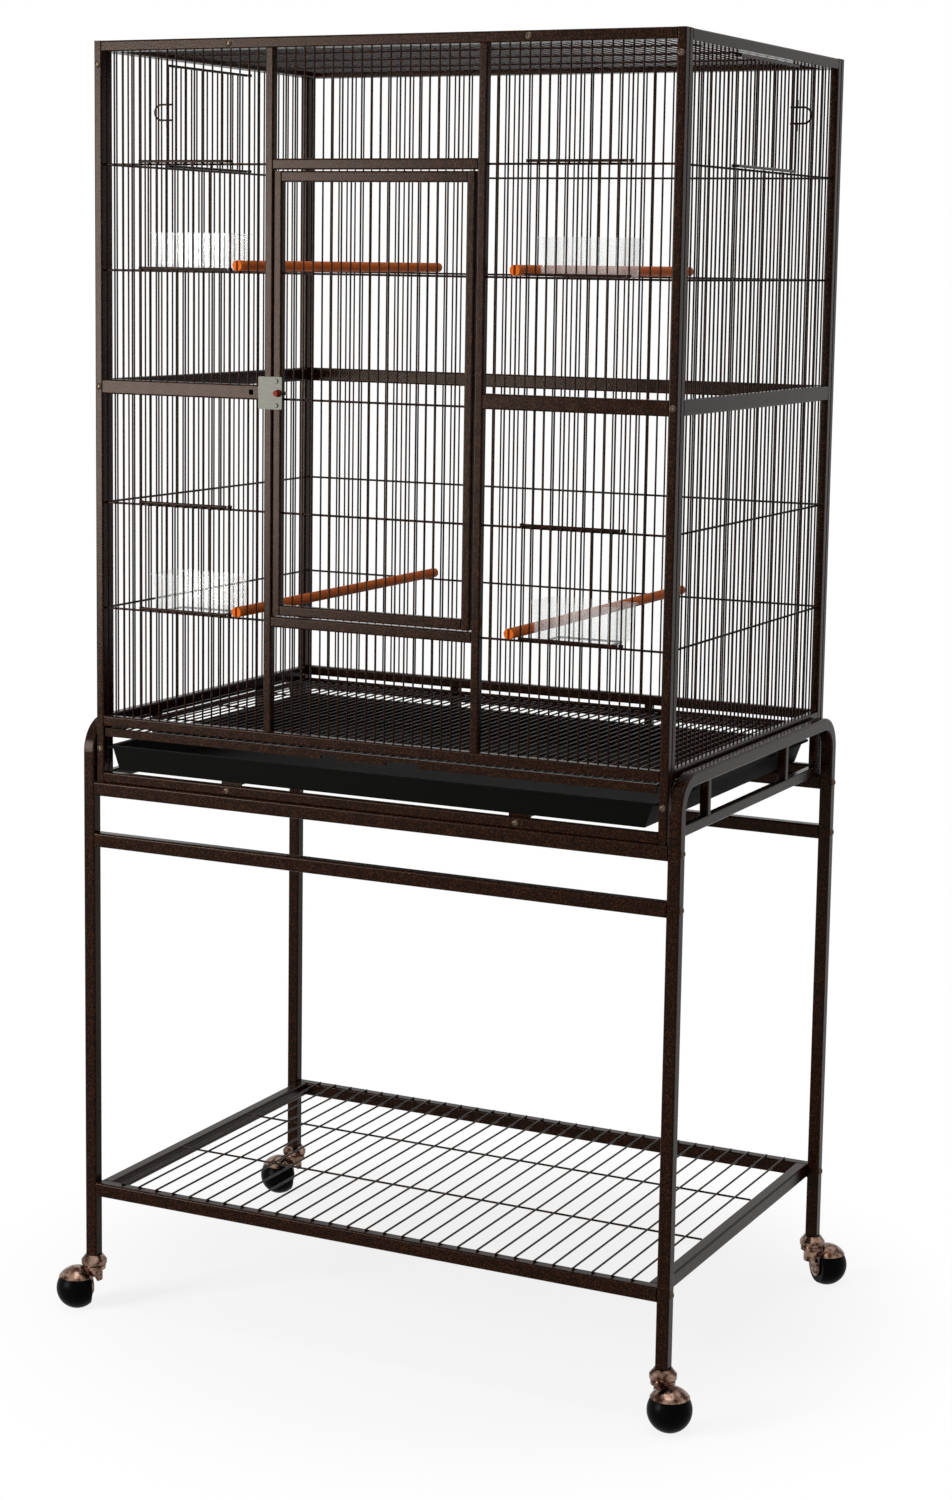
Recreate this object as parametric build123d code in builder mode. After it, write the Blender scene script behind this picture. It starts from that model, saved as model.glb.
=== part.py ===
# Bird cage on a wheeled stand, in millimetres.
# The frame: +Z up, -Y towards the door, origin on the floor under the middle of the cage.
import os
from math import cos, radians, sin, sqrt

from build123d import *

os.makedirs("parts", exist_ok=True)

# Stand: two bent side frames joined by cross rails and a low shelf
stand_width = 813.0
stand_depth = 533.0
leg_tube = 16.0
stand_wall = 1.2
stand_corner = 2.5
cross_rail_height = 18.0
caster_height = 70.0
shelf_level = 159.0
lower_cross_level = 618.0
upper_cross_level = 684.0
arch_top = 773.0
arch_outer_radius = 43.0
shelf_wire = 2.6
shelf_pitch = 25.4
shelf_long_wires = 2

# Cage: five welded panels of square tube and round bars, bolted at the corners
cage_side_gap = 2.5
cage_front_setback = 2.5
cage_top = 1608.0
panel_tube = 11.0
panel_wall = 1.0
panel_corner = 2.0
rail_height = 13.0
mid_rail_height = 18.0
bar = 2.2
bar_pitch = 12.7
wire = 2.8
weld_gap = 0.1
post_cap = 1.2
bar_rail_level = 771.5
feeder_floor_share = 0.34
lower_head_share = 0.656
upper_head_share = 0.646
top_cross_wires = 3
side_strut_spacing = 264.0
rear_strut_spacing = 290.0

# Front door and its slide bolt
door_post_spacing = 281.0
door_hinge_gap = 2.2
door_latch_gap = 1.5
door_end_gap = 1.5
door_stand_proud = 0.5
pivot_pin = 5.0
pivot_reach = 7.0
pivot_plug_length = 14.0
pin_clearance = 0.05
plug_clearance = 0.05
bolt_rod = 4.5
bolt_travel = 5.0
bolt_tip_recess = 0.5
bolt_tail = 4.5
strike_clearance = 0.45
knob_stem = 2.6
knob = 9.0
knob_length = 7.0
knob_gap = 0.4
latch_slot_clearance = 0.3
latch_plate_height = 39.0
latch_plate_thickness = 1.2
latch_plate_over_post = 18.0
latch_plate_past_stile = 2.0
latch_screw = 3.0
latch_screw_head = 5.5
latch_screw_head_height = 1.4
latch_screw_spacing = 29.0
latch_window = 6.0
latch_window_inset = 18.0

# Feeder gates, cups and perches
feeder_half_pitches = 5
gate_wire = 3.5
gate_gap = 0.4
eyelet_wall = 1.7
eyelet_clearance = 0.4
rest_gap = 0.3
cup_side_gap = 7.4
cup_depth = 60.0
cup_height = 45.0
cup_wall = 1.6
cup_taper = 6.0
cup_lip = 2.5
cup_lip_height = 2.0
cup_front_inset = 12.0
cup_rest_side_inset = 14.0
cup_rest_front_gap = 8.0
cup_rest_bend = 6.0
perch = 12.7
perch_slot_clearance = 0.3

# Side doors with their wire catches
side_door_column = 7
side_door_head_gap = 6.0
side_door_edge_rod = 3.0
side_door_overlap = 5.0
catch_wire = 2.5
catch_share = 0.535
catch_half_height = 9.75
catch_reach = 18.0
catch_inward = 9.0
catch_tail = 9.0

# Slide-out grille and tray, and the straps under the tray
grille_wire = 5.0
grille_under_rail = 2.5
grille_side_gap = 2.5
grille_cross_wires = 3
strip_height = 10.5
strip_thickness = 3.0
notch_depth = 5.0
small_notch_place = -54.0
small_notch_width = 21.0
large_notch_place = 46.0
large_notch_width = 44.0
runner_width = 6.0
runner_thickness = 2.2
runner_gap = 0.3
tray_height = 30.5
tray_wall = 2.0
tray_taper = 11.0
tray_side_gap = 3.0
tray_front_inset = 2.0
tray_rear_gap = 5.0
tray_lift = 0.3
tray_rim = 5.0
tray_rim_height = 3.0
strap_spacing = 394.0
strap_width = 28.0
strap_thickness = 3.0
strap_rise = 3.2

# Bolts
stand_bolt = 6.0
stand_bolt_head = 10.0
stand_bolt_head_height = 2.4
end_plug_length = 14.0
cage_bolt = 5.0
cage_bolt_head = 9.0
cage_bolt_head_height = 2.2
bolt_clearance = 0.2
corner_bolt_top_drop = 28.0
top_bolt_spacing = 394.0

# Ball casters
ball_offset = 22.0
wheel_share = 0.385
wheel_half_width = 15.0
hood_gap = 0.5
hood_wall = 1.2
hood_edge_above_axle = 16.0
ear_gap = 0.5
ear_thickness = 2.0
ear_radius = 14.0
hub_cap_radius = 12.0
hub_cap_height = 2.5
hub_cap_taper = 40.0
axle = 6.0
stem = 8.0
stem_length = 28.0
socket_length = 34.0
running_clearance = 0.05
collar_radius = 16.5
collar_waist = 13.0
collar_lower_radius = 15.0
collar_top_radius = 11.0
collar_height = 19.0
neck_radius = 11.0
neck_drop = 15.0
swivel_gap = 0.3
caster_turns = {
    "front_left": (-1, -1, 225.0),
    "front_right": (1, -1, 315.0),
    "rear_right": (1, 1, 45.0),
    "rear_left": (-1, 1, 225.0),
}

# Places worked out from the sizes above
leg_x = (stand_width - leg_tube) / 2
leg_y = (stand_depth - leg_tube) / 2
leg_inner_x = leg_x - leg_tube / 2
cage_base = upper_cross_level + cross_rail_height / 2
cage_half_width = leg_inner_x - cage_side_gap
cage_half_depth = stand_depth / 2 - cage_front_setback
panel_x = cage_half_width - panel_tube / 2
panel_y = cage_half_depth - panel_tube / 2
inner_x = cage_half_width - panel_tube
inner_y = cage_half_depth - panel_tube
side_inner_y = inner_y - panel_tube
wheel_radius = wheel_share * caster_height
low_rail_level = cage_base + rail_height / 2
low_rail_top = cage_base + rail_height
bar_rail_top = bar_rail_level + rail_height / 2
bar_rail_bottom = bar_rail_level - rail_height / 2
mid_rail_level = (bar_rail_level + cage_top) / 2
half_height = mid_rail_level - bar_rail_level
mid_top = mid_rail_level + mid_rail_height / 2
mid_bottom = mid_rail_level - mid_rail_height / 2
top_rail_level = cage_top - rail_height / 2
top_rail_bottom = cage_top - rail_height
feeder_floor_low = bar_rail_level + feeder_floor_share * half_height
feeder_head_low = bar_rail_level + lower_head_share * half_height
feeder_floor_high = mid_rail_level + feeder_floor_share * half_height
feeder_head_high = mid_rail_level + upper_head_share * half_height
wire_levels = (feeder_floor_low, feeder_head_low, feeder_floor_high, feeder_head_high)
door_sill_level = feeder_floor_low
door_header_level = feeder_head_high
wire_step = (bar + wire + weld_gap) / 2
door_post_x = door_post_spacing / 2
door_post_face = door_post_x + panel_tube / 2
feeder_column = int((door_post_face + inner_x) / 2 / bar_pitch)
feeder_x = (feeder_column + 0.5) * bar_pitch
feeder_half = feeder_half_pitches * bar_pitch
perch_x = feeder_x - feeder_half - bar_pitch
side_door_half = (side_door_column + 0.5) * bar_pitch
gate_step = bar / 2 + gate_gap + gate_wire / 2
gate_lift = wire / 2 + rest_gap + gate_wire / 2
eyelet_inner = bar / 2 + eyelet_clearance
eyelet_outer = eyelet_inner + eyelet_wall


def grid(low, high):
    """Bar places on the common pitch between two faces, clear of both."""
    first = int(low / bar_pitch) - 1
    last = int(high / bar_pitch) + 1
    places = [(step + 0.5) * bar_pitch for step in range(first, last + 1)]
    margin = bar_pitch / 3
    return [place for place in places if low + margin < place < high - margin]


def tube_section(width, height, corner, wall):
    """Rounded square tube, seen along its length."""
    RectangleRounded(width, height, corner)
    RectangleRounded(width - 2 * wall, height - 2 * wall, corner - wall, mode=Mode.SUBTRACT)


def tube_along_x(start, end, y, z, depth, height, corner=panel_corner, wall=panel_wall):
    with BuildSketch(Plane.YZ.offset(start)) as section:
        with Locations((y, z)):
            tube_section(depth, height, corner, wall)
    extrude(section.sketch, amount=end - start)


def tube_along_y(start, end, x, z, width, height, corner=panel_corner, wall=panel_wall):
    with BuildSketch(Plane.XZ.offset(-start)) as section:
        with Locations((x, z)):
            tube_section(width, height, corner, wall)
    extrude(section.sketch, amount=start - end)


def tube_along_z(start, end, x, y, width, depth, corner=panel_corner, wall=panel_wall):
    with BuildSketch(Plane.XY.offset(start)) as section:
        with Locations((x, y)):
            tube_section(width, depth, corner, wall)
    extrude(section.sketch, amount=end - start)


def corner_post(x, y):
    """Upright tube of a panel, its top closed by a welded cap."""
    tube_along_z(cage_base, cage_top, x, y, panel_tube, panel_tube)
    with Locations((x, y, cage_top)):
        Box(
            panel_tube - panel_wall, panel_tube - panel_wall, post_cap,
            align=(Align.CENTER, Align.CENTER, Align.MAX),
        )


def rods_along_x(start, end, places, diameter, mode=Mode.ADD):
    with BuildSketch(Plane.YZ.offset(start)) as section:
        with Locations(*places):
            Circle(diameter / 2)
    extrude(section.sketch, amount=end - start, mode=mode)


def rods_along_y(start, end, places, diameter, mode=Mode.ADD):
    with BuildSketch(Plane.XZ.offset(-start)) as section:
        with Locations(*places):
            Circle(diameter / 2)
    extrude(section.sketch, amount=start - end, mode=mode)


def rods_along_z(start, end, places, diameter, mode=Mode.ADD):
    with BuildSketch(Plane.XY.offset(start)) as section:
        with Locations(*places):
            Circle(diameter / 2)
    extrude(section.sketch, amount=end - start, mode=mode)


def keep(piece, name):
    """Names a finished piece and writes it."""
    piece.part.label = name
    export_step(piece.part, f"parts/{name}.step")


# Stand bolts sit at every leg, level with the cross rails and the shelf
stand_bolt_levels = (shelf_level, lower_cross_level, upper_cross_level)
stand_bolt_places = [(y, z) for y in (-leg_y, leg_y) for z in stand_bolt_levels]
stand_bolt_hole = stand_bolt + 2 * bolt_clearance

# Bent side frames of the stand
for side, side_name in ((-1, "left"), (1, "right")):
    with BuildPart() as side_frame:
        with BuildLine(Plane.YZ.offset(side * leg_x)) as arch_line:
            FilletPolyline(
                (-leg_y, caster_height),
                (-leg_y, arch_top - leg_tube / 2),
                (leg_y, arch_top - leg_tube / 2),
                (leg_y, caster_height),
                radius=arch_outer_radius - leg_tube / 2,
            )
        with BuildSketch(Plane.XY.offset(caster_height)):
            with Locations((side * leg_x, -leg_y)):
                tube_section(leg_tube, leg_tube, stand_corner, stand_wall)
        sweep(path=arch_line.wires()[0])
        hole_start = side * leg_x - leg_tube
        rods_along_x(hole_start, hole_start + 2 * leg_tube, stand_bolt_places, stand_bolt_hole, Mode.SUBTRACT)
    keep(side_frame, f"{side_name}_side_frame")

# Cross rails between the side frames, front and rear
for end, end_name in ((-1, "front"), (1, "rear")):
    for level, level_name in ((lower_cross_level, "lower"), (upper_cross_level, "upper")):
        with BuildPart() as cross_rail:
            tube_along_x(
                weld_gap - leg_inner_x, leg_inner_x - weld_gap, end * leg_y, level,
                leg_tube, cross_rail_height, stand_corner, stand_wall,
            )
        keep(cross_rail, f"{end_name}_{level_name}_cross_rail")

# Shelf frame: front and rear rails carry the bolts, the end rails close it
shelf_inner_y = leg_y - leg_tube / 2
shelf_end_x = leg_inner_x - weld_gap - leg_tube / 2
shelf_top = shelf_level + cross_rail_height / 2
with BuildPart() as shelf_frame:
    for end in (-1, 1):
        tube_along_x(
            weld_gap - leg_inner_x, leg_inner_x - weld_gap, end * leg_y, shelf_level,
            leg_tube, cross_rail_height, stand_corner, stand_wall,
        )
        tube_along_y(
            weld_gap - shelf_inner_y, shelf_inner_y - weld_gap, end * shelf_end_x, shelf_level,
            leg_tube, cross_rail_height, stand_corner, stand_wall,
        )
keep(shelf_frame, "shelf_frame")

# Shelf wires run front to back over the rails, on long wires set between the end rails
shelf_wire_span = 2 * (shelf_end_x - leg_tube / 2)
shelf_wire_count = int(shelf_wire_span / shelf_pitch)
shelf_wire_level = shelf_top + weld_gap + shelf_wire / 2
with BuildPart() as shelf_wires:
    shelf_wire_x = [(i - (shelf_wire_count - 1) / 2) * shelf_pitch for i in range(shelf_wire_count)]
    rods_along_y(-leg_y, leg_y, [(x, shelf_wire_level) for x in shelf_wire_x], shelf_wire)
    long_step = 2 * shelf_inner_y / (shelf_long_wires + 1)
    long_places = [
        ((i + 1) * long_step - shelf_inner_y, shelf_wire_level - shelf_wire - weld_gap)
        for i in range(shelf_long_wires)
    ]
    long_end = shelf_end_x - leg_tube / 2 - weld_gap
    rods_along_x(-long_end, long_end, long_places, shelf_wire)
keep(shelf_wires, "shelf_wires")

# Threaded plugs in the ends of the cross rails and of the shelf's front and rear rails
plug_depth = leg_tube - 2 * stand_wall - 2 * plug_clearance
plug_height = cross_rail_height - 2 * stand_wall - 2 * plug_clearance
plug_outer_x = leg_inner_x - weld_gap
with BuildPart() as rail_end_plugs:
    for side in (-1, 1):
        with BuildSketch(Plane.YZ.offset(side * plug_outer_x)):
            with Locations(*stand_bolt_places):
                RectangleRounded(plug_depth, plug_height, stand_corner - stand_wall)
                Circle(stand_bolt / 2 + plug_clearance, mode=Mode.SUBTRACT)
        extrude(amount=-side * end_plug_length)
keep(rail_end_plugs, "rail_end_plugs")

# Stand bolts, heads on the outer faces of the legs
with BuildPart() as stand_bolts:
    for side in (-1, 1):
        head_face = side * stand_width / 2
        for bolt_y, bolt_z in stand_bolt_places:
            with BuildSketch(Plane.YZ.offset(head_face)):
                with Locations((bolt_y, bolt_z)):
                    Circle(stand_bolt / 2)
            extrude(amount=-side * (leg_tube + weld_gap + end_plug_length))
            with BuildSketch(Plane.YZ.offset(head_face)):
                with Locations((bolt_y, bolt_z)):
                    Circle(stand_bolt_head / 2)
            extrude(amount=side * stand_bolt_head_height, taper=20)
keep(stand_bolts, "stand_bolts")

# Caster sockets, plugs in the open ends of the legs
socket_side = leg_tube - 2 * stand_wall - 2 * plug_clearance
with BuildPart() as caster_sockets:
    with BuildSketch(Plane.XY.offset(caster_height)):
        with GridLocations(2 * leg_x, 2 * leg_y, 2, 2):
            RectangleRounded(socket_side, socket_side, stand_corner - stand_wall)
    extrude(amount=socket_length)
    with BuildSketch(Plane.XY.offset(caster_height)):
        with GridLocations(2 * leg_x, 2 * leg_y, 2, 2):
            Circle(stem / 2 + running_clearance)
    extrude(amount=stem_length + rest_gap, mode=Mode.SUBTRACT)
keep(caster_sockets, "caster_sockets")

# Ball casters: a hood with stem and one ear, a round wheel open to the other side, and its axle pin
hood_inner = wheel_radius + hood_gap
hood_outer = hood_inner + hood_wall
ear_inner = wheel_half_width + ear_gap
ear_outer = ear_inner + ear_thickness
ear_reach = sqrt((hood_inner + hood_wall / 2) ** 2 - ear_outer**2)
pin_length = wheel_half_width + ear_outer - running_clearance
collar_top = caster_height - swivel_gap
collar_bottom = collar_top - collar_height
collar_band = collar_height / 4
turned_profile = [
    (0, collar_bottom - neck_drop),
    (neck_radius, collar_bottom - neck_drop),
    (neck_radius, collar_bottom),
    (collar_lower_radius, collar_bottom),
    (collar_lower_radius, collar_bottom + collar_band),
    (collar_waist, collar_bottom + collar_band),
    (collar_waist, collar_bottom + 1.5 * collar_band),
    (collar_radius, collar_bottom + 1.5 * collar_band),
    (collar_radius, collar_bottom + 2.5 * collar_band),
    (collar_top_radius, collar_top),
    (stem / 2, collar_top),
    (stem / 2, collar_top + stem_length),
    (0, collar_top + stem_length),
]
for corner_name, (side, end, turn) in caster_turns.items():
    outward = Vector(cos(radians(turn)), sin(radians(turn)), 0)
    crosswise = Vector(-sin(radians(turn)), cos(radians(turn)), 0)
    leg_foot = Vector(side * leg_x, end * leg_y, 0)
    ball_middle = leg_foot + outward * ball_offset + Vector(0, 0, wheel_radius)
    caster_plane = Plane(origin=leg_foot, x_dir=outward, z_dir=(0, 0, 1))
    ball_centre = (ball_offset, 0, wheel_radius)
    along_axle = Location(ball_centre, (0, 90, 0))
    with BuildPart(caster_plane) as hood:
        # Round cap over the wheel, its poles level so that the edge cut takes them off
        with Locations(Location(ball_centre, (90, 0, 0))):
            Sphere(hood_outer)
        with Locations((ball_offset, 0, wheel_radius + hood_edge_above_axle)):
            Box(
                2 * hood_outer, 2 * hood_outer, 2 * hood_outer,
                align=(Align.CENTER, Align.CENTER, Align.MAX), mode=Mode.SUBTRACT,
            )
        # Neck, two-step collar and stem in one turning
        with BuildSketch(Plane(origin=leg_foot, x_dir=outward, z_dir=-crosswise)):
            with BuildLine():
                Polyline(*turned_profile, close=True)
            make_face()
        revolve(axis=Axis(leg_foot, (0, 0, 1)))
        with Locations(Location(ball_centre, (90, 0, 0))):
            Sphere(hood_inner, mode=Mode.SUBTRACT)
        # Ear on the stem's side of the wheel, with a hub cap over the end of the axle
        ear_origin = ball_middle - outward * ear_inner
        with BuildSketch(Plane(origin=ear_origin, x_dir=-crosswise, z_dir=-outward)):
            Circle(ear_radius)
            Rectangle(2 * ear_radius, ear_reach, align=(Align.CENTER, Align.MIN))
            Circle(ear_reach, mode=Mode.INTERSECT)
        extrude(amount=ear_thickness)
        cap_origin = ball_middle - outward * ear_outer
        with BuildSketch(Plane(origin=cap_origin, x_dir=-crosswise, z_dir=-outward)):
            Circle(hub_cap_radius)
        extrude(amount=hub_cap_height, taper=hub_cap_taper)
        with Locations(along_axle):
            Cylinder(axle / 2 + running_clearance / 2, 2 * ear_outer, mode=Mode.SUBTRACT)
    keep(hood, f"caster_hood_{corner_name}")

    with BuildPart(caster_plane) as wheel:
        with Locations(ball_centre):
            Sphere(wheel_radius)
        with Locations((ball_offset - wheel_half_width, 0, wheel_radius)):
            Box(
                2 * wheel_radius, 2 * wheel_radius, 2 * wheel_radius,
                align=(Align.MAX, Align.CENTER, Align.CENTER), mode=Mode.SUBTRACT,
            )
        with Locations(along_axle):
            Cylinder(axle / 2 + running_clearance, 2 * wheel_half_width + 2 * rest_gap, mode=Mode.SUBTRACT)
    keep(wheel, f"caster_wheel_{corner_name}")

    with BuildPart(caster_plane) as axle_pin:
        pin_middle = ball_offset + wheel_half_width - pin_length / 2
        with Locations(Location((pin_middle, 0, wheel_radius), (0, 90, 0))):
            Cylinder(axle / 2, pin_length)
    keep(axle_pin, f"caster_axle_{corner_name}")

# Bolts that hold the panels together
base_gap_level = (low_rail_top + bar_rail_bottom) / 2
corner_bolt_levels = (base_gap_level, mid_rail_level, cage_top - corner_bolt_top_drop)
corner_bolt_places = [(x, z) for x in (-panel_x, panel_x) for z in corner_bolt_levels]
top_bolt_places = [(x, top_rail_level) for x in (-top_bolt_spacing / 2, top_bolt_spacing / 2)]
strap_bolt_places = [(x, low_rail_level) for x in (-strap_spacing / 2, strap_spacing / 2)]
cage_bolt_places = corner_bolt_places + top_bolt_places + strap_bolt_places
cage_bolt_hole = cage_bolt + 2 * bolt_clearance
cage_bolt_length = panel_tube + panel_tube / 2

# Front panel frame: corner posts, rails, door posts, header and sill, all welded
door_y = -panel_y - door_stand_proud
door_opening_half = door_post_x - panel_tube / 2
header_bottom = door_header_level - rail_height / 2
sill_top = door_sill_level + rail_height / 2
hinge_x = door_opening_half - door_hinge_gap - panel_tube / 2
with BuildPart() as front_frame:
    for side in (-1, 1):
        corner_post(side * panel_x, -panel_y)
        tube_along_z(
            bar_rail_top + weld_gap, top_rail_bottom - weld_gap, side * door_post_x, -panel_y,
            panel_tube, panel_tube,
        )
        mid_start, mid_end = sorted((side * (door_post_face + weld_gap), side * (inner_x - weld_gap)))
        tube_along_x(mid_start, mid_end, -panel_y, mid_rail_level, panel_tube, mid_rail_height)
    for level in (low_rail_level, bar_rail_level, top_rail_level):
        tube_along_x(weld_gap - inner_x, inner_x - weld_gap, -panel_y, level, panel_tube, rail_height)
    for level in (door_sill_level, door_header_level):
        tube_along_x(
            weld_gap - door_opening_half, door_opening_half - weld_gap, -panel_y, level,
            panel_tube, rail_height,
        )
    # Bolt holes, the pivot holes of the door, the strike hole and the small latch window
    rods_along_y(
        -cage_half_depth - panel_tube, -inner_y + weld_gap, cage_bolt_places, cage_bolt_hole, Mode.SUBTRACT
    )
    rods_along_z(
        door_sill_level, door_header_level, [(hinge_x, door_y)], pivot_pin + 2 * pin_clearance, Mode.SUBTRACT
    )
    rods_along_x(
        -door_post_x, -door_opening_half + weld_gap, [(door_y, mid_rail_level)],
        bolt_rod + 2 * strike_clearance, Mode.SUBTRACT,
    )
    with Locations((-door_post_face - latch_window_inset, -cage_half_depth, mid_rail_level)):
        Box(latch_window, panel_tube, latch_window, mode=Mode.SUBTRACT)
keep(front_frame, "front_panel_frame")

# Rear panel frame
with BuildPart() as rear_frame:
    for side in (-1, 1):
        corner_post(side * panel_x, panel_y)
        tube_along_z(
            low_rail_top + weld_gap, bar_rail_bottom - weld_gap, side * rear_strut_spacing / 2, panel_y,
            panel_tube, panel_tube,
        )
    for level in (low_rail_level, bar_rail_level, top_rail_level):
        tube_along_x(weld_gap - inner_x, inner_x - weld_gap, panel_y, level, panel_tube, rail_height)
    tube_along_x(
        weld_gap - inner_x, inner_x - weld_gap, panel_y, mid_rail_level, panel_tube, mid_rail_height
    )
    rods_along_y(
        inner_y - weld_gap, cage_half_depth + panel_tube, cage_bolt_places, cage_bolt_hole, Mode.SUBTRACT
    )
keep(rear_frame, "rear_panel_frame")

# Side panel frames stand between the front and rear panels and carry the grille runners
grille_level = bar_rail_bottom - grille_under_rail - grille_wire / 2
runner_top = grille_level - grille_wire / 2 - runner_gap
for side, side_name in ((-1, "left"), (1, "right")):
    with BuildPart() as side_panel:
        for end in (-1, 1):
            corner_post(side * panel_x, end * (inner_y - weld_gap - panel_tube / 2))
            tube_along_z(
                low_rail_top + weld_gap, bar_rail_bottom - weld_gap, side * panel_x,
                end * side_strut_spacing / 2, panel_tube, panel_tube,
            )
        rail_end = side_inner_y - 2 * weld_gap
        for level in (low_rail_level, bar_rail_level, top_rail_level):
            tube_along_y(-rail_end, rail_end, side * panel_x, level, panel_tube, rail_height)
        tube_along_y(-rail_end, rail_end, side * panel_x, mid_rail_level, panel_tube, mid_rail_height)
        corner_holes = [(side * panel_x, level) for level in corner_bolt_levels]
        for end in (-1, 1):
            hole_start, hole_end = sorted((end * inner_y, end * (inner_y - panel_tube / 2)))
            rods_along_y(
                hole_start - weld_gap, hole_end + weld_gap, corner_holes, cage_bolt_hole, Mode.SUBTRACT
            )
        with Locations((side * (inner_x - weld_gap - runner_width / 2), 0, runner_top)):
            Box(
                runner_width, 2 * rail_end, runner_thickness,
                align=(Align.CENTER, Align.CENTER, Align.MAX),
            )
    keep(side_panel, f"{side_name}_panel_frame")

# Top panel frame lies inside the four upright panels
top_x = inner_x - weld_gap - panel_tube / 2
top_y = inner_y - weld_gap - panel_tube / 2
top_inner_x = top_x - panel_tube / 2
top_inner_y = top_y - panel_tube / 2
with BuildPart() as top_frame:
    for side in (-1, 1):
        tube_along_x(
            -top_inner_x, top_inner_x, side * top_y, top_rail_level, panel_tube, rail_height
        )
        tube_along_y(
            -top_y - panel_tube / 2, top_y + panel_tube / 2, side * (top_x + weld_gap / 2), top_rail_level,
            panel_tube - weld_gap, rail_height,
        )
        hole_start, hole_end = sorted((side * inner_y, side * top_y))
        rods_along_y(
            hole_start - weld_gap, hole_end + weld_gap, top_bolt_places, cage_bolt_hole, Mode.SUBTRACT
        )
keep(top_frame, "top_panel_frame")

# Cage bolts, button heads on the front and rear faces
with BuildPart() as cage_bolts:
    for end in (-1, 1):
        face_plane = Plane.XZ.offset(-end * cage_half_depth)
        for place in cage_bolt_places:
            with BuildSketch(face_plane):
                with Locations(place):
                    Circle(cage_bolt / 2)
            extrude(amount=end * cage_bolt_length)
            with BuildSketch(face_plane):
                with Locations(place):
                    Circle(cage_bolt_head / 2)
            extrude(amount=-end * cage_bolt_head_height, taper=25)
keep(cage_bolts, "cage_bolts")

# Front bars: whole bars beside the feeder openings, short ones above and below them and the door
front_spans = ((-inner_x, -door_post_face), (door_post_face, inner_x))
front_places = [x for low, high in front_spans for x in grid(low, high)]
feeder_places = [x for x in front_places if abs(abs(x) - feeder_x) < feeder_half - bar]
whole_places = [x for x in front_places if x not in feeder_places]
lower_start = bar_rail_top + weld_gap
lower_end = mid_bottom - weld_gap
upper_start = mid_top + weld_gap
upper_end = top_rail_bottom - weld_gap
door_places = grid(-door_opening_half, door_opening_half)
sill_bottom = door_sill_level - rail_height / 2
header_top = door_header_level + rail_height / 2
with BuildPart() as front_bars:
    for start, end in ((lower_start, lower_end), (upper_start, upper_end)):
        rods_along_z(start, end, [(x, -panel_y) for x in whole_places], bar)
    for start, end in (
        (lower_start, feeder_floor_low + wire / 2),
        (feeder_head_low - wire / 2, lower_end),
        (upper_start, feeder_floor_high + wire / 2),
        (feeder_head_high - wire / 2, upper_end),
    ):
        rods_along_z(start, end, [(x, -panel_y) for x in feeder_places], bar)
    for start, end in ((lower_start, sill_bottom - weld_gap), (header_top + weld_gap, upper_end)):
        rods_along_z(start, end, [(x, -panel_y) for x in door_places], bar)
    for low, high in front_spans:
        places = [(wire_step - panel_y, level) for level in wire_levels]
        rods_along_x(low + weld_gap, high - weld_gap, places, wire)
keep(front_bars, "front_panel_bars")

# Rear bars
with BuildPart() as rear_bars:
    for start, end in ((lower_start, lower_end), (upper_start, upper_end)):
        rods_along_z(start, end, [(x, panel_y) for x in grid(-inner_x, inner_x)], bar)
    places = [(panel_y - wire_step, level) for level in wire_levels]
    rods_along_x(weld_gap - inner_x, inner_x - weld_gap, places, wire)
keep(rear_bars, "rear_panel_bars")

# Side bars stop under the small doors
side_places = grid(-side_inner_y, side_inner_y)
doorway_places = [y for y in side_places if abs(y) < side_door_half - bar]
beside_places = [y for y in side_places if y not in doorway_places]
for side, side_name in ((-1, "left"), (1, "right")):
    with BuildPart() as side_bars:
        rods_along_z(lower_start, lower_end, [(side * panel_x, y) for y in side_places], bar)
        rods_along_z(upper_start, upper_end, [(side * panel_x, y) for y in beside_places], bar)
        rods_along_z(
            upper_start, feeder_head_high + wire / 2, [(side * panel_x, y) for y in doorway_places], bar
        )
        places = [(side * (panel_x - wire_step), level) for level in wire_levels]
        rods_along_y(2 * weld_gap - side_inner_y, side_inner_y - 2 * weld_gap, places, wire)
    keep(side_bars, f"{side_name}_panel_bars")

# Top bars run front to back on a few cross wires
with BuildPart() as top_bars:
    places = [(x, top_rail_level) for x in grid(-top_inner_x, top_inner_x)]
    rods_along_y(weld_gap - top_inner_y, top_inner_y - weld_gap, places, bar)
    cross_step = 2 * top_inner_y / (top_cross_wires + 1)
    places = [
        ((i + 1) * cross_step - top_inner_y, top_rail_level - wire_step) for i in range(top_cross_wires)
    ]
    rods_along_x(weld_gap - top_inner_x, top_inner_x - weld_gap, places, wire)
keep(top_bars, "top_panel_bars")

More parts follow.
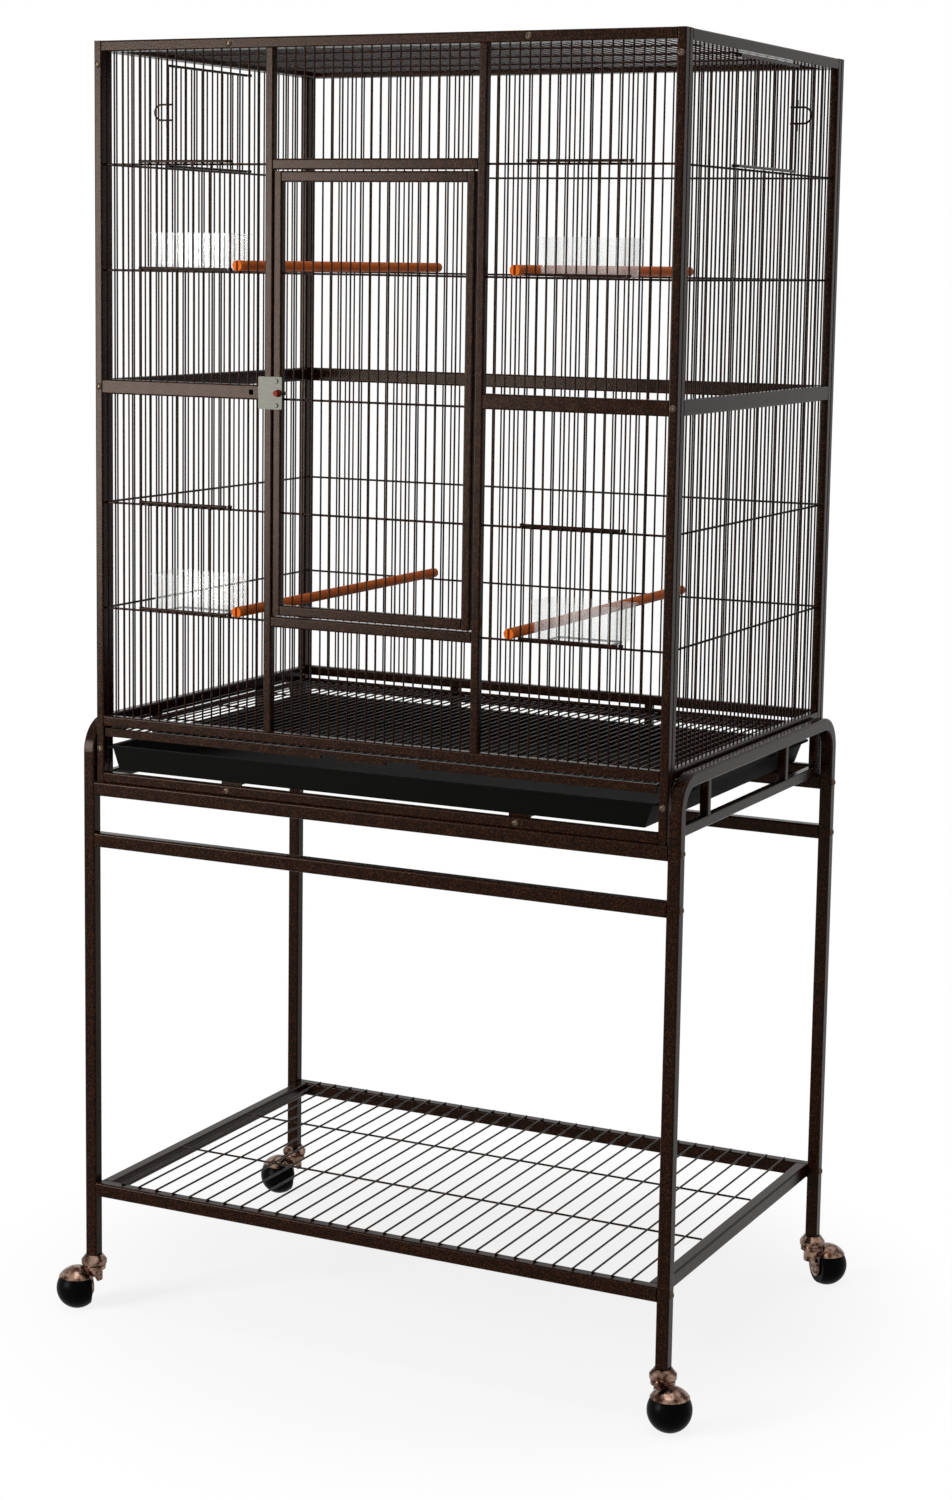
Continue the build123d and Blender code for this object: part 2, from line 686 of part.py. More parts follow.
# Front door frame, hung on two pivots in its right stile
door_bottom = sill_top + door_end_gap
door_top = header_bottom - door_end_gap
latch_stile_x = -door_opening_half + door_latch_gap + panel_tube / 2
latch_stile_face = latch_stile_x + panel_tube / 2
hinge_stile_face = hinge_x - panel_tube / 2
knob_middle = latch_stile_x
slot_length = bolt_travel + knob_stem + 2 * latch_slot_clearance
slot_height = knob_stem + 2 * latch_slot_clearance
door_front = door_y - panel_tube / 2
latch_screw_places = [(latch_stile_x, mid_rail_level + end * latch_screw_spacing / 2) for end in (-1, 1)]
with BuildPart() as door_frame:
    for x in (latch_stile_x, hinge_x):
        tube_along_z(door_bottom, door_top, x, door_y, panel_tube, panel_tube)
    for level in (door_bottom + rail_height / 2, door_top - rail_height / 2):
        tube_along_x(
            latch_stile_face + weld_gap, hinge_stile_face - weld_gap, door_y, level, panel_tube, rail_height
        )
    rods_along_x(
        latch_stile_x - panel_tube, latch_stile_x + panel_tube, [(door_y, mid_rail_level)],
        bolt_rod + 2 * running_clearance, Mode.SUBTRACT,
    )
    with Locations((knob_middle, door_front, mid_rail_level)):
        Box(slot_length, panel_tube, slot_height, mode=Mode.SUBTRACT)
    rods_along_y(
        door_front - panel_wall, door_y, latch_screw_places, latch_screw + 2 * bolt_clearance, Mode.SUBTRACT
    )
keep(door_frame, "door_frame")

# Door bars and cross wires
with BuildPart() as door_bars:
    bar_start = door_bottom + rail_height + weld_gap
    bar_end = door_top - rail_height - weld_gap
    places = [(x, door_y) for x in grid(latch_stile_face, hinge_stile_face)]
    rods_along_z(bar_start, bar_end, places, bar)
    door_wire_levels = (feeder_head_low, mid_rail_level - bolt_rod - wire, feeder_floor_high)
    places = [(door_y + wire_step, level) for level in door_wire_levels]
    rods_along_x(latch_stile_face + weld_gap, hinge_stile_face - weld_gap, places, wire)
keep(door_bars, "door_bars")

# Door pivots: plugs in the ends of the hinge stile with round pins
pivot_plug = panel_tube - 2 * panel_wall - 2 * plug_clearance
with BuildPart() as door_pivots:
    for end_level, way in ((door_bottom, -1), (door_top, 1)):
        with BuildSketch(Plane.XY.offset(end_level)):
            with Locations((hinge_x, door_y)):
                RectangleRounded(pivot_plug, pivot_plug, panel_corner - panel_wall)
        extrude(amount=-way * pivot_plug_length)
        with BuildSketch(Plane.XY.offset(end_level)):
            with Locations((hinge_x, door_y)):
                Circle(pivot_pin / 2)
        extrude(amount=way * (door_end_gap + pivot_reach))
keep(door_pivots, "door_pivots")

# Latch plate on the door, overlapping the door post as a stop
plate_left = -door_opening_half - latch_plate_over_post
plate_right = latch_stile_face + latch_plate_past_stile
plate_middle = (plate_left + plate_right) / 2
with BuildPart() as latch_plate:
    with BuildSketch(Plane.XZ.offset(-door_front)):
        with Locations((plate_middle, mid_rail_level)):
            RectangleRounded(plate_right - plate_left, latch_plate_height, panel_corner)
        with Locations((knob_middle, mid_rail_level)):
            Rectangle(slot_length, slot_height, mode=Mode.SUBTRACT)
        with Locations(*latch_screw_places):
            Circle(latch_screw / 2 + bolt_clearance, mode=Mode.SUBTRACT)
    extrude(amount=latch_plate_thickness)
keep(latch_plate, "latch_plate")

# Slide bolt: a rod through the latch stile with a stem for the knob, at rest drawn back
plate_front = door_front - latch_plate_thickness
bolt_tip = latch_stile_x - panel_tube / 2 + bolt_tip_recess
knob_x = knob_middle + bolt_travel / 2
with BuildPart() as latch_bolt:
    rods_along_x(bolt_tip, latch_stile_face + bolt_tail, [(door_y, mid_rail_level)], bolt_rod)
    rods_along_y(plate_front - knob_gap - knob_length / 2, door_y, [(knob_x, mid_rail_level)], knob_stem)
keep(latch_bolt, "latch_bolt")

# Knob on the bolt's stem
with BuildPart() as latch_knob:
    with BuildSketch(Plane.XZ.offset(-(plate_front - knob_gap))):
        with Locations((knob_x, mid_rail_level)):
            Circle(knob / 2)
    extrude(amount=knob_length, taper=12)
    rods_along_y(
        plate_front - knob_gap - knob_length / 2 - weld_gap, plate_front, [(knob_x, mid_rail_level)],
        knob_stem + 2 * plug_clearance, Mode.SUBTRACT,
    )
keep(latch_knob, "latch_knob")

# Latch screws
with BuildPart() as latch_screws:
    rods_along_y(plate_front, door_front + panel_wall, latch_screw_places, latch_screw)
    with BuildSketch(Plane.XZ.offset(-plate_front)):
        with Locations(*latch_screw_places):
            Circle(latch_screw_head / 2)
    extrude(amount=latch_screw_head_height, taper=20)
keep(latch_screws, "latch_screws")

# Feeder gates slide up on eyelets round the bars beside each opening
eyelet_end = sqrt(eyelet_outer**2 - (gate_step - gate_wire / 2) ** 2)
gate_y = -panel_y - gate_step
feeders = {
    "upper_left": (-feeder_x, feeder_floor_high, feeder_head_high),
    "upper_right": (feeder_x, feeder_floor_high, feeder_head_high),
    "lower_left": (-feeder_x, feeder_floor_low, feeder_head_low),
    "lower_right": (feeder_x, feeder_floor_low, feeder_head_low),
}
cup_half = feeder_half - bar / 2 - cup_side_gap
cup_front = cup_front_inset - cage_half_depth
for feeder_name, (middle, floor_level, head_level) in feeders.items():
    wire_reach = feeder_half - eyelet_end - weld_gap
    with BuildPart() as gate:
        places = [(gate_y, floor_level + gate_lift), (gate_y, head_level + gate_lift)]
        rods_along_x(middle - wire_reach, middle + wire_reach, places, gate_wire)
        places = [(x, gate_y) for x in feeder_places if abs(x - middle) < feeder_half]
        gate_start = floor_level + gate_lift + gate_wire / 2 + weld_gap
        rods_along_z(gate_start, head_level + gate_lift - gate_wire / 2 - weld_gap, places, bar)
        for level in (floor_level, head_level):
            with BuildSketch(Plane.XY.offset(level + gate_lift - gate_wire / 2)):
                with Locations((middle - feeder_half, -panel_y), (middle + feeder_half, -panel_y)):
                    Circle(eyelet_outer)
                    Circle(eyelet_inner, mode=Mode.SUBTRACT)
            extrude(amount=gate_wire)
    keep(gate, f"feeder_gate_{feeder_name}")

    # Seed cup: a tapered trough with a lip, standing on the wire and the rest behind it
    cup_bottom = floor_level + wire / 2 + rest_gap
    cup_middle = cup_front + cup_depth / 2
    cup_top = cup_bottom + cup_height
    with BuildPart() as cup:
        with BuildSketch(Plane.XY.offset(cup_bottom)):
            with Locations((middle, cup_middle)):
                RectangleRounded(2 * cup_half - cup_taper, cup_depth - cup_taper, cup_taper)
        with BuildSketch(Plane.XY.offset(cup_top)):
            with Locations((middle, cup_middle)):
                RectangleRounded(2 * cup_half, cup_depth, cup_taper)
        loft()
        with BuildSketch(Plane.XY.offset(cup_top - cup_lip_height)):
            with Locations((middle, cup_middle)):
                RectangleRounded(2 * cup_half + 2 * cup_lip, cup_depth, cup_taper)
        extrude(amount=cup_lip_height)
        with BuildSketch(Plane.XY.offset(cup_bottom + cup_wall)):
            with Locations((middle, cup_middle)):
                RectangleRounded(
                    2 * cup_half - cup_taper - 2 * cup_wall, cup_depth - cup_taper - 2 * cup_wall,
                    cup_taper - cup_wall,
                )
        with BuildSketch(Plane.XY.offset(cup_top)):
            with Locations((middle, cup_middle)):
                RectangleRounded(2 * cup_half - 2 * cup_wall, cup_depth - 2 * cup_wall, cup_taper - cup_wall)
        loft(mode=Mode.SUBTRACT)
    keep(cup, f"cup_{feeder_name}")

# Wire rests that reach in from the feeder wires and carry the cups
rest_start = wire_step - panel_y + wire / 2 + weld_gap
rest_end = cup_front + cup_depth - cup_rest_front_gap
rest_half = cup_half - cup_rest_side_inset
with BuildPart() as cup_rests:
    for middle, floor_level, head_level in feeders.values():
        with BuildLine(Plane.XY.offset(floor_level)) as rest_line:
            FilletPolyline(
                (middle - rest_half, rest_start),
                (middle - rest_half, rest_end),
                (middle + rest_half, rest_end),
                (middle + rest_half, rest_start),
                radius=cup_rest_bend,
            )
        with BuildSketch(Plane(origin=(middle - rest_half, rest_start, floor_level), z_dir=(0, 1, 0))):
            Circle(wire / 2)
        sweep(path=rest_line.wires()[0])
keep(cup_rests, "cup_rests")

# Perches: dowels slotted over a bar at each end, lying on the feeder wires
slot_reach = panel_tube / 2 + bar / 2 + rest_gap
for level, level_name in ((feeder_floor_high, "upper"), (feeder_floor_low, "lower")):
    for side, side_name in ((-1, "left"), (1, "right")):
        perch_level = level + wire / 2 + rest_gap + perch / 2
        with BuildPart() as dowel:
            rods_along_y(-cage_half_depth, cage_half_depth, [(side * perch_x, perch_level)], perch)
            for end in (-1, 1):
                with Locations((side * perch_x, end * (cage_half_depth - slot_reach / 2), perch_level)):
                    Box(bar + 2 * perch_slot_clearance, slot_reach, 2 * perch, mode=Mode.SUBTRACT)
        keep(dowel, f"perch_{level_name}_{side_name}")

# Small side doors turn on eyelets round one bar of the side panel
door_sill = feeder_head_high + gate_lift
door_head = top_rail_bottom - side_door_head_gap
for side, side_name in ((-1, "left"), (1, "right")):
    door_x = side * (panel_x + gate_step)
    edge_y = side * (side_door_half + side_door_overlap)
    hinge_y = -side * side_door_half
    with BuildPart() as small_door:
        wire_start = hinge_y + side * (eyelet_end + weld_gap)
        wire_end = edge_y + side * side_door_edge_rod / 2
        low_y, high_y = sorted((wire_start, wire_end))
        rods_along_y(low_y, high_y, [(door_x, door_sill), (door_x, door_head)], gate_wire)
        rod_start = door_sill + gate_wire / 2 + weld_gap
        rod_end = door_head - gate_wire / 2 - weld_gap
        rods_along_z(rod_start, rod_end, [(door_x, y) for y in doorway_places], bar)
        rods_along_z(rod_start, rod_end, [(door_x, edge_y)], side_door_edge_rod)
        for level in (door_sill, door_head):
            with BuildSketch(Plane.XY.offset(level - gate_wire / 2)):
                with Locations((side * panel_x, hinge_y)):
                    Circle(eyelet_outer)
                    Circle(eyelet_inner, mode=Mode.SUBTRACT)
            extrude(amount=gate_wire)
        # Spring catch: a C of wire that stands out as a grip, with its ends hooked in past the bars
        catch_level = door_sill + catch_share * (door_head - door_sill)
        catch_y = edge_y + side * (side_door_edge_rod / 2 + weld_gap + catch_wire / 2)
        catch_end = door_x - side * catch_inward
        catch_bend = door_x + side * (catch_reach - catch_half_height)
        catch_high = catch_level + catch_half_height
        catch_low = catch_level - catch_half_height
        with BuildLine(Plane.XZ.offset(-catch_y)) as catch_line:
            Line((catch_end, catch_high), (catch_bend, catch_high))
            ThreePointArc(
                (catch_bend, catch_high), (door_x + side * catch_reach, catch_level), (catch_bend, catch_low)
            )
            Line((catch_bend, catch_low), (catch_end, catch_low))
        with BuildSketch(Plane(origin=(catch_end, catch_y, catch_high), z_dir=(side, 0, 0))):
            Circle(catch_wire / 2)
        sweep(path=catch_line.wires()[0])
        rods_along_z(catch_high, catch_high + catch_tail, [(door_x, catch_y)], catch_wire)
        rods_along_z(catch_low - catch_tail, catch_low, [(door_x, catch_y)], catch_wire)
    keep(small_door, f"{side_name}_side_door")

# Slide-out floor grille, welded to a front strip with two finger notches and to a plain rear strip
grille_x = inner_x - grille_side_gap
strip_back = -cage_half_depth + strip_thickness
grille_rear = inner_y - tray_rear_gap - grille_wire / 2
with BuildPart() as grille:
    rods_along_x(-grille_x, grille_x, [(grille_rear, grille_level)], grille_wire)
    rod_start = strip_back + weld_gap
    rod_end = grille_rear - grille_wire / 2 - weld_gap
    edge_places = [(side * (grille_x - grille_wire / 2), grille_level) for side in (-1, 1)]
    rods_along_y(rod_start, rod_end, edge_places, grille_wire)
    floor_places = [(x, grille_level) for x in grid(grille_wire - grille_x, grille_x - grille_wire)]
    rods_along_y(rod_start, rod_end, floor_places, bar)
    cross_step = (rod_end - rod_start) / (grille_cross_wires + 1)
    cross_level = grille_level - bar - weld_gap
    places = [(rod_start + (i + 1) * cross_step, cross_level) for i in range(grille_cross_wires)]
    cross_end = grille_x - grille_wire - weld_gap
    rods_along_x(-cross_end, cross_end, places, bar)
keep(grille, "floor_grille")

strip_top = grille_level + grille_wire / 2
strip_notches = ((small_notch_place, small_notch_width), (large_notch_place, large_notch_width))
with BuildPart() as strip:
    with Locations((0, strip_back, strip_top)):
        Box(2 * grille_x, strip_thickness, strip_height, align=(Align.CENTER, Align.MAX, Align.MAX))
    for notch_x, notch_width in strip_notches:
        with Locations((notch_x, strip_back, strip_top - strip_height)):
            Box(notch_width, 4 * strip_thickness, 2 * notch_depth, mode=Mode.SUBTRACT)
    with Locations((0, grille_rear, grille_level - grille_wire / 2 - weld_gap)):
        Box(2 * cross_end, strip_thickness, strip_height, align=(Align.CENTER, Align.CENTER, Align.MAX))
keep(strip, "grille_strip")

# Two straps under the tray, their bent ends bolted to the lowest rails
strap_top = low_rail_top + strap_rise
strap_end = inner_y - weld_gap
flange_bottom = low_rail_level - cage_bolt_head / 2
with BuildPart() as straps:
    for strap_x in (-strap_spacing / 2, strap_spacing / 2):
        with Locations((strap_x, 0, strap_top)):
            Box(strap_width, 2 * strap_end, strap_thickness, align=(Align.CENTER, Align.CENTER, Align.MAX))
        for end in (-1, 1):
            with Locations((strap_x, end * (strap_end - strap_thickness / 2), flange_bottom)):
                Box(
                    strap_width, strap_thickness, strap_top - flange_bottom,
                    align=(Align.CENTER, Align.CENTER, Align.MIN),
                )
    rods_along_y(-inner_y, inner_y, strap_bolt_places, cage_bolt_hole, Mode.SUBTRACT)
keep(straps, "tray_straps")

# Slide-out tray: a drafted shell with a rim, sliding on the straps
tray_bottom = strap_top + tray_lift
tray_top = tray_bottom + tray_height
tray_half = inner_x - tray_side_gap
tray_front = -cage_half_depth + tray_front_inset
tray_rear = inner_y - tray_rear_gap
tray_middle = (tray_front + tray_rear) / 2
wall_x = 2 * (tray_half - tray_rim)
wall_y = tray_rear - tray_front - 2 * tray_rim
floor_x = wall_x - 2 * tray_taper
with BuildPart() as tray:
    with BuildSketch(Plane.XY.offset(tray_bottom)):
        with Locations((0, tray_middle)):
            Rectangle(floor_x, wall_y)
    with BuildSketch(Plane.XY.offset(tray_top)):
        with Locations((0, tray_middle)):
            Rectangle(wall_x, wall_y)
    loft()
    with BuildSketch(Plane.XY.offset(tray_top - tray_rim_height)):
        with Locations((0, tray_middle)):
            Rectangle(wall_x + 2 * tray_rim, wall_y + 2 * tray_rim)
    extrude(amount=tray_rim_height)
    with BuildSketch(Plane.XY.offset(tray_bottom + tray_wall)):
        with Locations((0, tray_middle)):
            Rectangle(floor_x - 2 * tray_wall, wall_y - 2 * tray_wall)
    with BuildSketch(Plane.XY.offset(tray_top)):
        with Locations((0, tray_middle)):
            Rectangle(wall_x - 2 * tray_wall, wall_y - 2 * tray_wall)
    loft(mode=Mode.SUBTRACT)
keep(tray, "tray")
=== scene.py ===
"""Bird cage on a wheeled stand: wires, fittings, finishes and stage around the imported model."""

import math

import bmesh
import bpy
from bpy.props import FloatProperty, FloatVectorProperty, IntProperty, PointerProperty
from bpy.types import Operator, Panel, PropertyGroup
from mathutils import Matrix, Vector


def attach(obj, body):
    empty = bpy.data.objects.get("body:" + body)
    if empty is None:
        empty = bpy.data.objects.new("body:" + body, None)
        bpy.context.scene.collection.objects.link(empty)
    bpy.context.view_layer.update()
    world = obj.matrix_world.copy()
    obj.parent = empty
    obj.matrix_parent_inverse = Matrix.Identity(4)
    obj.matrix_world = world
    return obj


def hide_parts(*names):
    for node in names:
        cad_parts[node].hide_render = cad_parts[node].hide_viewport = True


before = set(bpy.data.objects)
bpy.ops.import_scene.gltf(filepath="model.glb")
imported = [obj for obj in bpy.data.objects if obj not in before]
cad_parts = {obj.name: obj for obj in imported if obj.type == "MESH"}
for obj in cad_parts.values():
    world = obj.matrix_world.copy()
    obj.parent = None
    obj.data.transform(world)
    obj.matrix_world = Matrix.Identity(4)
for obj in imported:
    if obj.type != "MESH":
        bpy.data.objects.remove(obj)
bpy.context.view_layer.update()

bl_info = {
    "name": "Bird cage on stand",
    "version": (1, 0, 0),
    "blender": (4, 5, 0),
    "location": "3D View > Sidebar > Bird cage",
    "description": "Dresses the packed bird cage with round wires, fittings and finishes",
    "category": "Object",
}

MM = 0.001
CAGE = "cage_and_stand"
PANELS = ("front", "rear", "left", "right", "top")
FEEDERS = ("upper_left", "upper_right", "lower_left", "lower_right")
CORNERS = ("front_left", "front_right", "rear_right", "rear_left")
SIDES = ("left", "right")

# Wires and fittings
SAME_PLACE = 1e-6  # vertices closer than this are one
SHARP = math.radians(40)  # edges bent further than this stay corners
BEND_STEP = math.radians(15)  # turn of one step of a bent wire
SLENDER = 3  # a solid this many times as long as it is wide is a wire
ROUND_STEPS = 16  # steps round an eyelet or a bolt head
EYELET_SIDES = 8  # faces round the wire of an eyelet
EYELET_PLAY = 0.4 * MM  # room between an eyelet and its bar
TAIL_INSET = 18.0 * MM  # from the outermost wire of a catch back to its tails
# A bolt head's outline as shares of its radius and height, from the rim into the socket
HEAD_OUTLINE = (
    (1.0, 0.0), (0.97, 0.25), (0.82, 0.65), (0.58, 0.92), (0.42, 1.0), (0.36, 0.45), (0.0, 0.45),
)

# Finishes. The gloss levels are low because the surround is white on every side.
PAINT_GLOSS = 0.085
PLASTIC_GLOSS = 0.025
WOOD_GLOSS = 0.06
SCRATCH_RUN = (0.15, 1.0, 1.0)  # scratches are long along X
GRAIN_RUN = (1.0, 0.045, 1.0)  # the grain is long along Y, as the perches are
SCRATCH_SHADE = 0.75
GRAIN_SHADE = 0.8
GRAIN_LIGHT = 1.25
FLOW_WIDTH = 15 * MM

# Stage, in metres and degrees, with the sensor and the lens in millimetres
FLOOR_REACH = 30.0
KEY_PLACE, KEY_AIM, KEY_SIZE = (-2.1, -2.95, 1.25), (0.0, 0.0, 1.1), (1.1, 1.3)
FILL_PLACE, FILL_AIM, FILL_SIZE = (0.3, -0.6, 3.6), (0.0, 0.0, 0.6), (2.4, 2.4)
CAMERA_PLACE = (1.5833, -3.1855, 1.3513)
CAMERA_TURN = (26.248, 8.091, 0.864)  # right of the front, downwards, round the line of sight
SENSOR_WIDTH = 36.0
LENS = 67.561
LENS_SHIFT = -0.06
CLIP_END = 100.0


def linear(hex_colour):
    """Linear colour of an sRGB hex value."""
    parts = [int(hex_colour[i:i + 2], 16) / 255 for i in (1, 3, 5)]
    return tuple(c / 12.92 if c <= 0.04045 else ((c + 0.055) / 1.055) ** 2.4 for c in parts)


def colour(name, text, hex_colour):
    """A colour setting whose default is written as sRGB hex."""
    return FloatVectorProperty(
        name=name, description=text, subtype="COLOR", size=3, min=0.0, max=1.0,
        default=linear(hex_colour),
    )


def length(name, text, millimetres):
    """A length setting whose default is written in millimetres."""
    return FloatProperty(
        name=name, description=text, subtype="DISTANCE", unit="LENGTH", min=0.0, precision=5,
        default=millimetres * MM,
    )


class CageSizes(PropertyGroup):
    """Sizes of the round wires, the bolt heads and the patterns."""

    bar: length("Bar", "Diameter of the upright bars", 2.2)
    cross_wire: length("Cross wire", "Diameter of the panels' level wires and the cup rests", 2.8)
    gate_wire: length("Gate wire", "Diameter of the heavy wires of the gates and small doors", 3.5)
    edge_rod: length("Edge rod", "Diameter of the free edge of a small door", 3.0)
    catch_wire: length("Catch wire", "Diameter of the small doors' catches", 2.5)
    catch_loop: length("Catch loop", "Width of a catch between its two arms", 19.5)
    rest_bend: length("Rest bend", "Bend of a cup rest at its corners", 6.0)
    grille_rod: length("Grille rod", "Diameter of the grille's outer rods", 5.0)
    shelf_wire: length("Shelf wire", "Diameter of the shelf wires", 2.6)
    stand_shank: length("Stand bolt", "Diameter of the stand bolts", 6.0)
    stand_head: length("Stand bolt head", "Height of the stand bolts' heads", 2.4)
    cage_shank: length("Cage bolt", "Diameter of the cage bolts", 5.0)
    cage_head: length("Cage bolt head", "Height of the cage bolts' heads", 2.2)
    paint_cell: length("Paint cell", "Width of one raised cell of the hammered paint", 2.6)
    paint_cloud: length("Paint cloud", "Width of the patches where the paint is thicker", 14.0)
    # Width of the patches of painted reflection on the caster hoods
    brass_reflection_patch: length("Brass patch", "Width of the smoked patches on the caster hoods", 9.0)
    wood_grain: length("Wood grain", "Width of the grain lines of the perches", 2.4)
    wire_sides: IntProperty(
        name="Wire sides", description="Faces round each wire", default=10, min=6, max=24
    )


class CageColours(PropertyGroup):
    """Colours of the finishes."""

    # The hollow colour is painted shade and the raised colour is painted light on the hammered
    # cells
    paint: colour("Paint", "Hollows of the hammered powder coat", "#100502")
    paint_raised_lit: colour("Paint, raised", "Raised cells of the hammered powder coat", "#4c2914")
    paint_sheen: colour("Paint, sheen", "Tint of the light on the hammered powder coat", "#f2dccb")
    # Painted reflections on the caster hoods: the light brass is a painted highlight, the smoked
    # brass a painted dark reflection
    brass: colour("Caster brass", "Rubbed plating of the caster hoods", "#94796a")
    brass_dark_reflection: colour("Caster brass, smoked", "Smoked plating of the caster hoods", "#3a2318")
    bolt: colour("Bolt heads", "Bronzed bolt heads", "#54463b")
    zinc: colour("Zinc", "Plated latch plate", "#56554f")
    knob: colour("Knob", "Latch knob", "#6e2110")
    steel: colour("Steel", "Bright pins", "#8a8884")
    tray: colour("Tray", "Black moulded tray", "#030302")
    wheel: colour("Wheel", "Black nylon wheels", "#040303")
    cup: colour("Cup", "Clear moulded cups", "#f4f6f5")
    wood: colour("Dowel", "Stained perches", "#d26a06")
    wood_dark: colour("Dowel grain", "Dark grain of the perches", "#9c3a03")


class StageSettings(PropertyGroup):
    """Floor, light and backdrop."""

    floor: colour("Floor", "Pale studio floor", "#fffcfb")
    key_power: FloatProperty(
        name="Key light", description="Power of the soft light at the front left", default=120.0,
        unit="POWER",
    )
    fill_power: FloatProperty(
        name="Fill light", description="Power of the soft light overhead", default=40.0,
        unit="POWER",
    )
    ambient: FloatProperty(
        name="Ambient", description="Level of the even surrounding light", default=0.25
    )
    floor_white: FloatProperty(
        name="Floor white", description="Share of plain white in the floor under the cage",
        default=0.8,
    )
    floor_near: length("Floor near", "Distance from the middle where the white fade begins", 380.0)
    floor_far: length("Floor far", "Distance from the middle where the floor is all white", 720.0)


def sizes():
    return bpy.context.scene.cage_sizes


def colours():
    return bpy.context.scene.cage_colours


def add(tree, kind, inputs=None, **settings):
    """Adds one shader node with its settings, values and links."""
    made = tree.nodes.new(kind)
    for key, value in settings.items():
        setattr(made, key, value)
    for key, value in (inputs or {}).items():
        if isinstance(value, bpy.types.NodeSocket):
            tree.links.new(value, made.inputs[key])
        else:
            made.inputs[key].default_value = value
    return made


def new_material(name):
    """An empty material and its node tree."""
    made = bpy.data.materials.new(name)
    made.use_nodes = True
    made.node_tree.nodes.clear()
    return made, made.node_tree


def hammered_powder_coat():
    """Hammered powder coat on steel: small raised cells with a warm sheen; painted shade darkens
    the hollows and painted light brightens the raised cells, more so where the paint is thicker.
    """
    name = "hammered_powder_coat"
    if name in bpy.data.materials:
        return bpy.data.materials[name]
    made, tree = new_material(name)
    place = add(tree, "ShaderNodeTexCoord").outputs["Object"]
    cells = add(
        tree, "ShaderNodeTexVoronoi",
        {"Vector": place, "Scale": 1 / sizes().paint_cell, "Randomness": 1.0},
    )
    drift = add(
        tree, "ShaderNodeTexNoise",
        {"Vector": place, "Scale": 1 / sizes().paint_cloud, "Detail": 3.0},
    )
    raised = add(
        tree, "ShaderNodeMapRange",
        {"Value": cells.outputs["Distance"], "From Min": 0.55, "From Max": 0.1},
    )
    # Painted light and shade: the mix runs from the painted-shade hollows to the painted-light
    # raised cells, scaled by the thicker-paint clouds
    thickness_and_painted_light = add(
        tree, "ShaderNodeMath",
        {0: raised.outputs["Result"], 1: drift.outputs["Fac"]}, operation="MULTIPLY",
    )
    tint = add(tree, "ShaderNodeMix", {"Factor": thickness_and_painted_light.outputs["Value"]}, data_type="RGBA")
    tint.inputs["A"].default_value = (*colours().paint, 1)
    tint.inputs["B"].default_value = (*colours().paint_raised_lit, 1)
    rough = add(
        tree, "ShaderNodeMapRange", {"Value": drift.outputs["Fac"], "To Min": 0.16, "To Max": 0.3}
    )
    bump = add(
        tree, "ShaderNodeBump",
        {"Height": raised.outputs["Result"], "Strength": 0.2, "Distance": 0.2 * MM},
    )
    shader = add(
        tree, "ShaderNodeBsdfPrincipled",
        {
            "Base Color": tint.outputs["Result"], "Roughness": rough.outputs["Result"],
            "Normal": bump.outputs["Normal"], "Specular IOR Level": PAINT_GLOSS, "IOR": 1.5,
            "Specular Tint": (*colours().paint_sheen, 1),
        },
    )
    add(tree, "ShaderNodeOutputMaterial", {"Surface": shader.outputs["BSDF"]})
    return made


def antique_brass_plate():
    """Brass plate over steel, polished, with painted reflections: dark patches stand in for
    reflected dark surroundings, light patches are painted highlights.
    """
    name = "antique_brass_plate"
    if name in bpy.data.materials:
        return bpy.data.materials[name]
    made, tree = new_material(name)
    place = add(tree, "ShaderNodeTexCoord").outputs["Object"]
    # Noise patches of painted reflection: dark ones for reflected dark surroundings, light ones as
    # painted highlights
    reflection_noise = add(
        tree, "ShaderNodeTexNoise",
        {"Vector": place, "Scale": 1 / sizes().brass_reflection_patch, "Detail": 2.0},
    )
    bright_reflection_share = add(
        tree, "ShaderNodeMapRange",
        {"Value": reflection_noise.outputs["Fac"], "From Min": 0.38, "From Max": 0.62},
    )
    tint = add(tree, "ShaderNodeMix", {"Factor": bright_reflection_share.outputs["Result"]}, data_type="RGBA")
    tint.inputs["A"].default_value = (*colours().brass_dark_reflection, 1)
    tint.inputs["B"].default_value = (*colours().brass, 1)
    rough = add(
        tree, "ShaderNodeMapRange", {"Value": reflection_noise.outputs["Fac"], "To Min": 0.1, "To Max": 0.24}
    )
    shader = add(
        tree, "ShaderNodeBsdfPrincipled",
        {
            "Base Color": tint.outputs["Result"], "Metallic": 1.0,
            "Roughness": rough.outputs["Result"],
        },
    )
    add(tree, "ShaderNodeOutputMaterial", {"Surface": shader.outputs["BSDF"]})
    return made


def plain_metal(name, tone, low, high, scratch_mm):
    """Plated or bright metal: the sheen changes at faint scratches, drawn wide enough to show."""
    if name in bpy.data.materials:
        return bpy.data.materials[name]
    made, tree = new_material(name)
    place = add(tree, "ShaderNodeTexCoord").outputs["Object"]
    stretched = add(tree, "ShaderNodeMapping", {"Vector": place, "Scale": SCRATCH_RUN})
    marks = add(
        tree, "ShaderNodeTexNoise",
        {"Vector": stretched.outputs["Vector"], "Scale": 1 / (scratch_mm * MM), "Detail": 5.0},
    )
    tint = add(tree, "ShaderNodeMix", {"Factor": marks.outputs["Fac"]}, data_type="RGBA")
    tint.inputs["A"].default_value = (*[c * SCRATCH_SHADE for c in tone], 1)
    tint.inputs["B"].default_value = (*tone, 1)
    rough = add(
        tree, "ShaderNodeMapRange", {"Value": marks.outputs["Fac"], "To Min": low, "To Max": high}
    )
    shader = add(
        tree, "ShaderNodeBsdfPrincipled",
        {
            "Base Color": tint.outputs["Result"], "Metallic": 1.0,
            "Roughness": rough.outputs["Result"],
        },
    )
    add(tree, "ShaderNodeOutputMaterial", {"Surface": shader.outputs["BSDF"]})
    return made


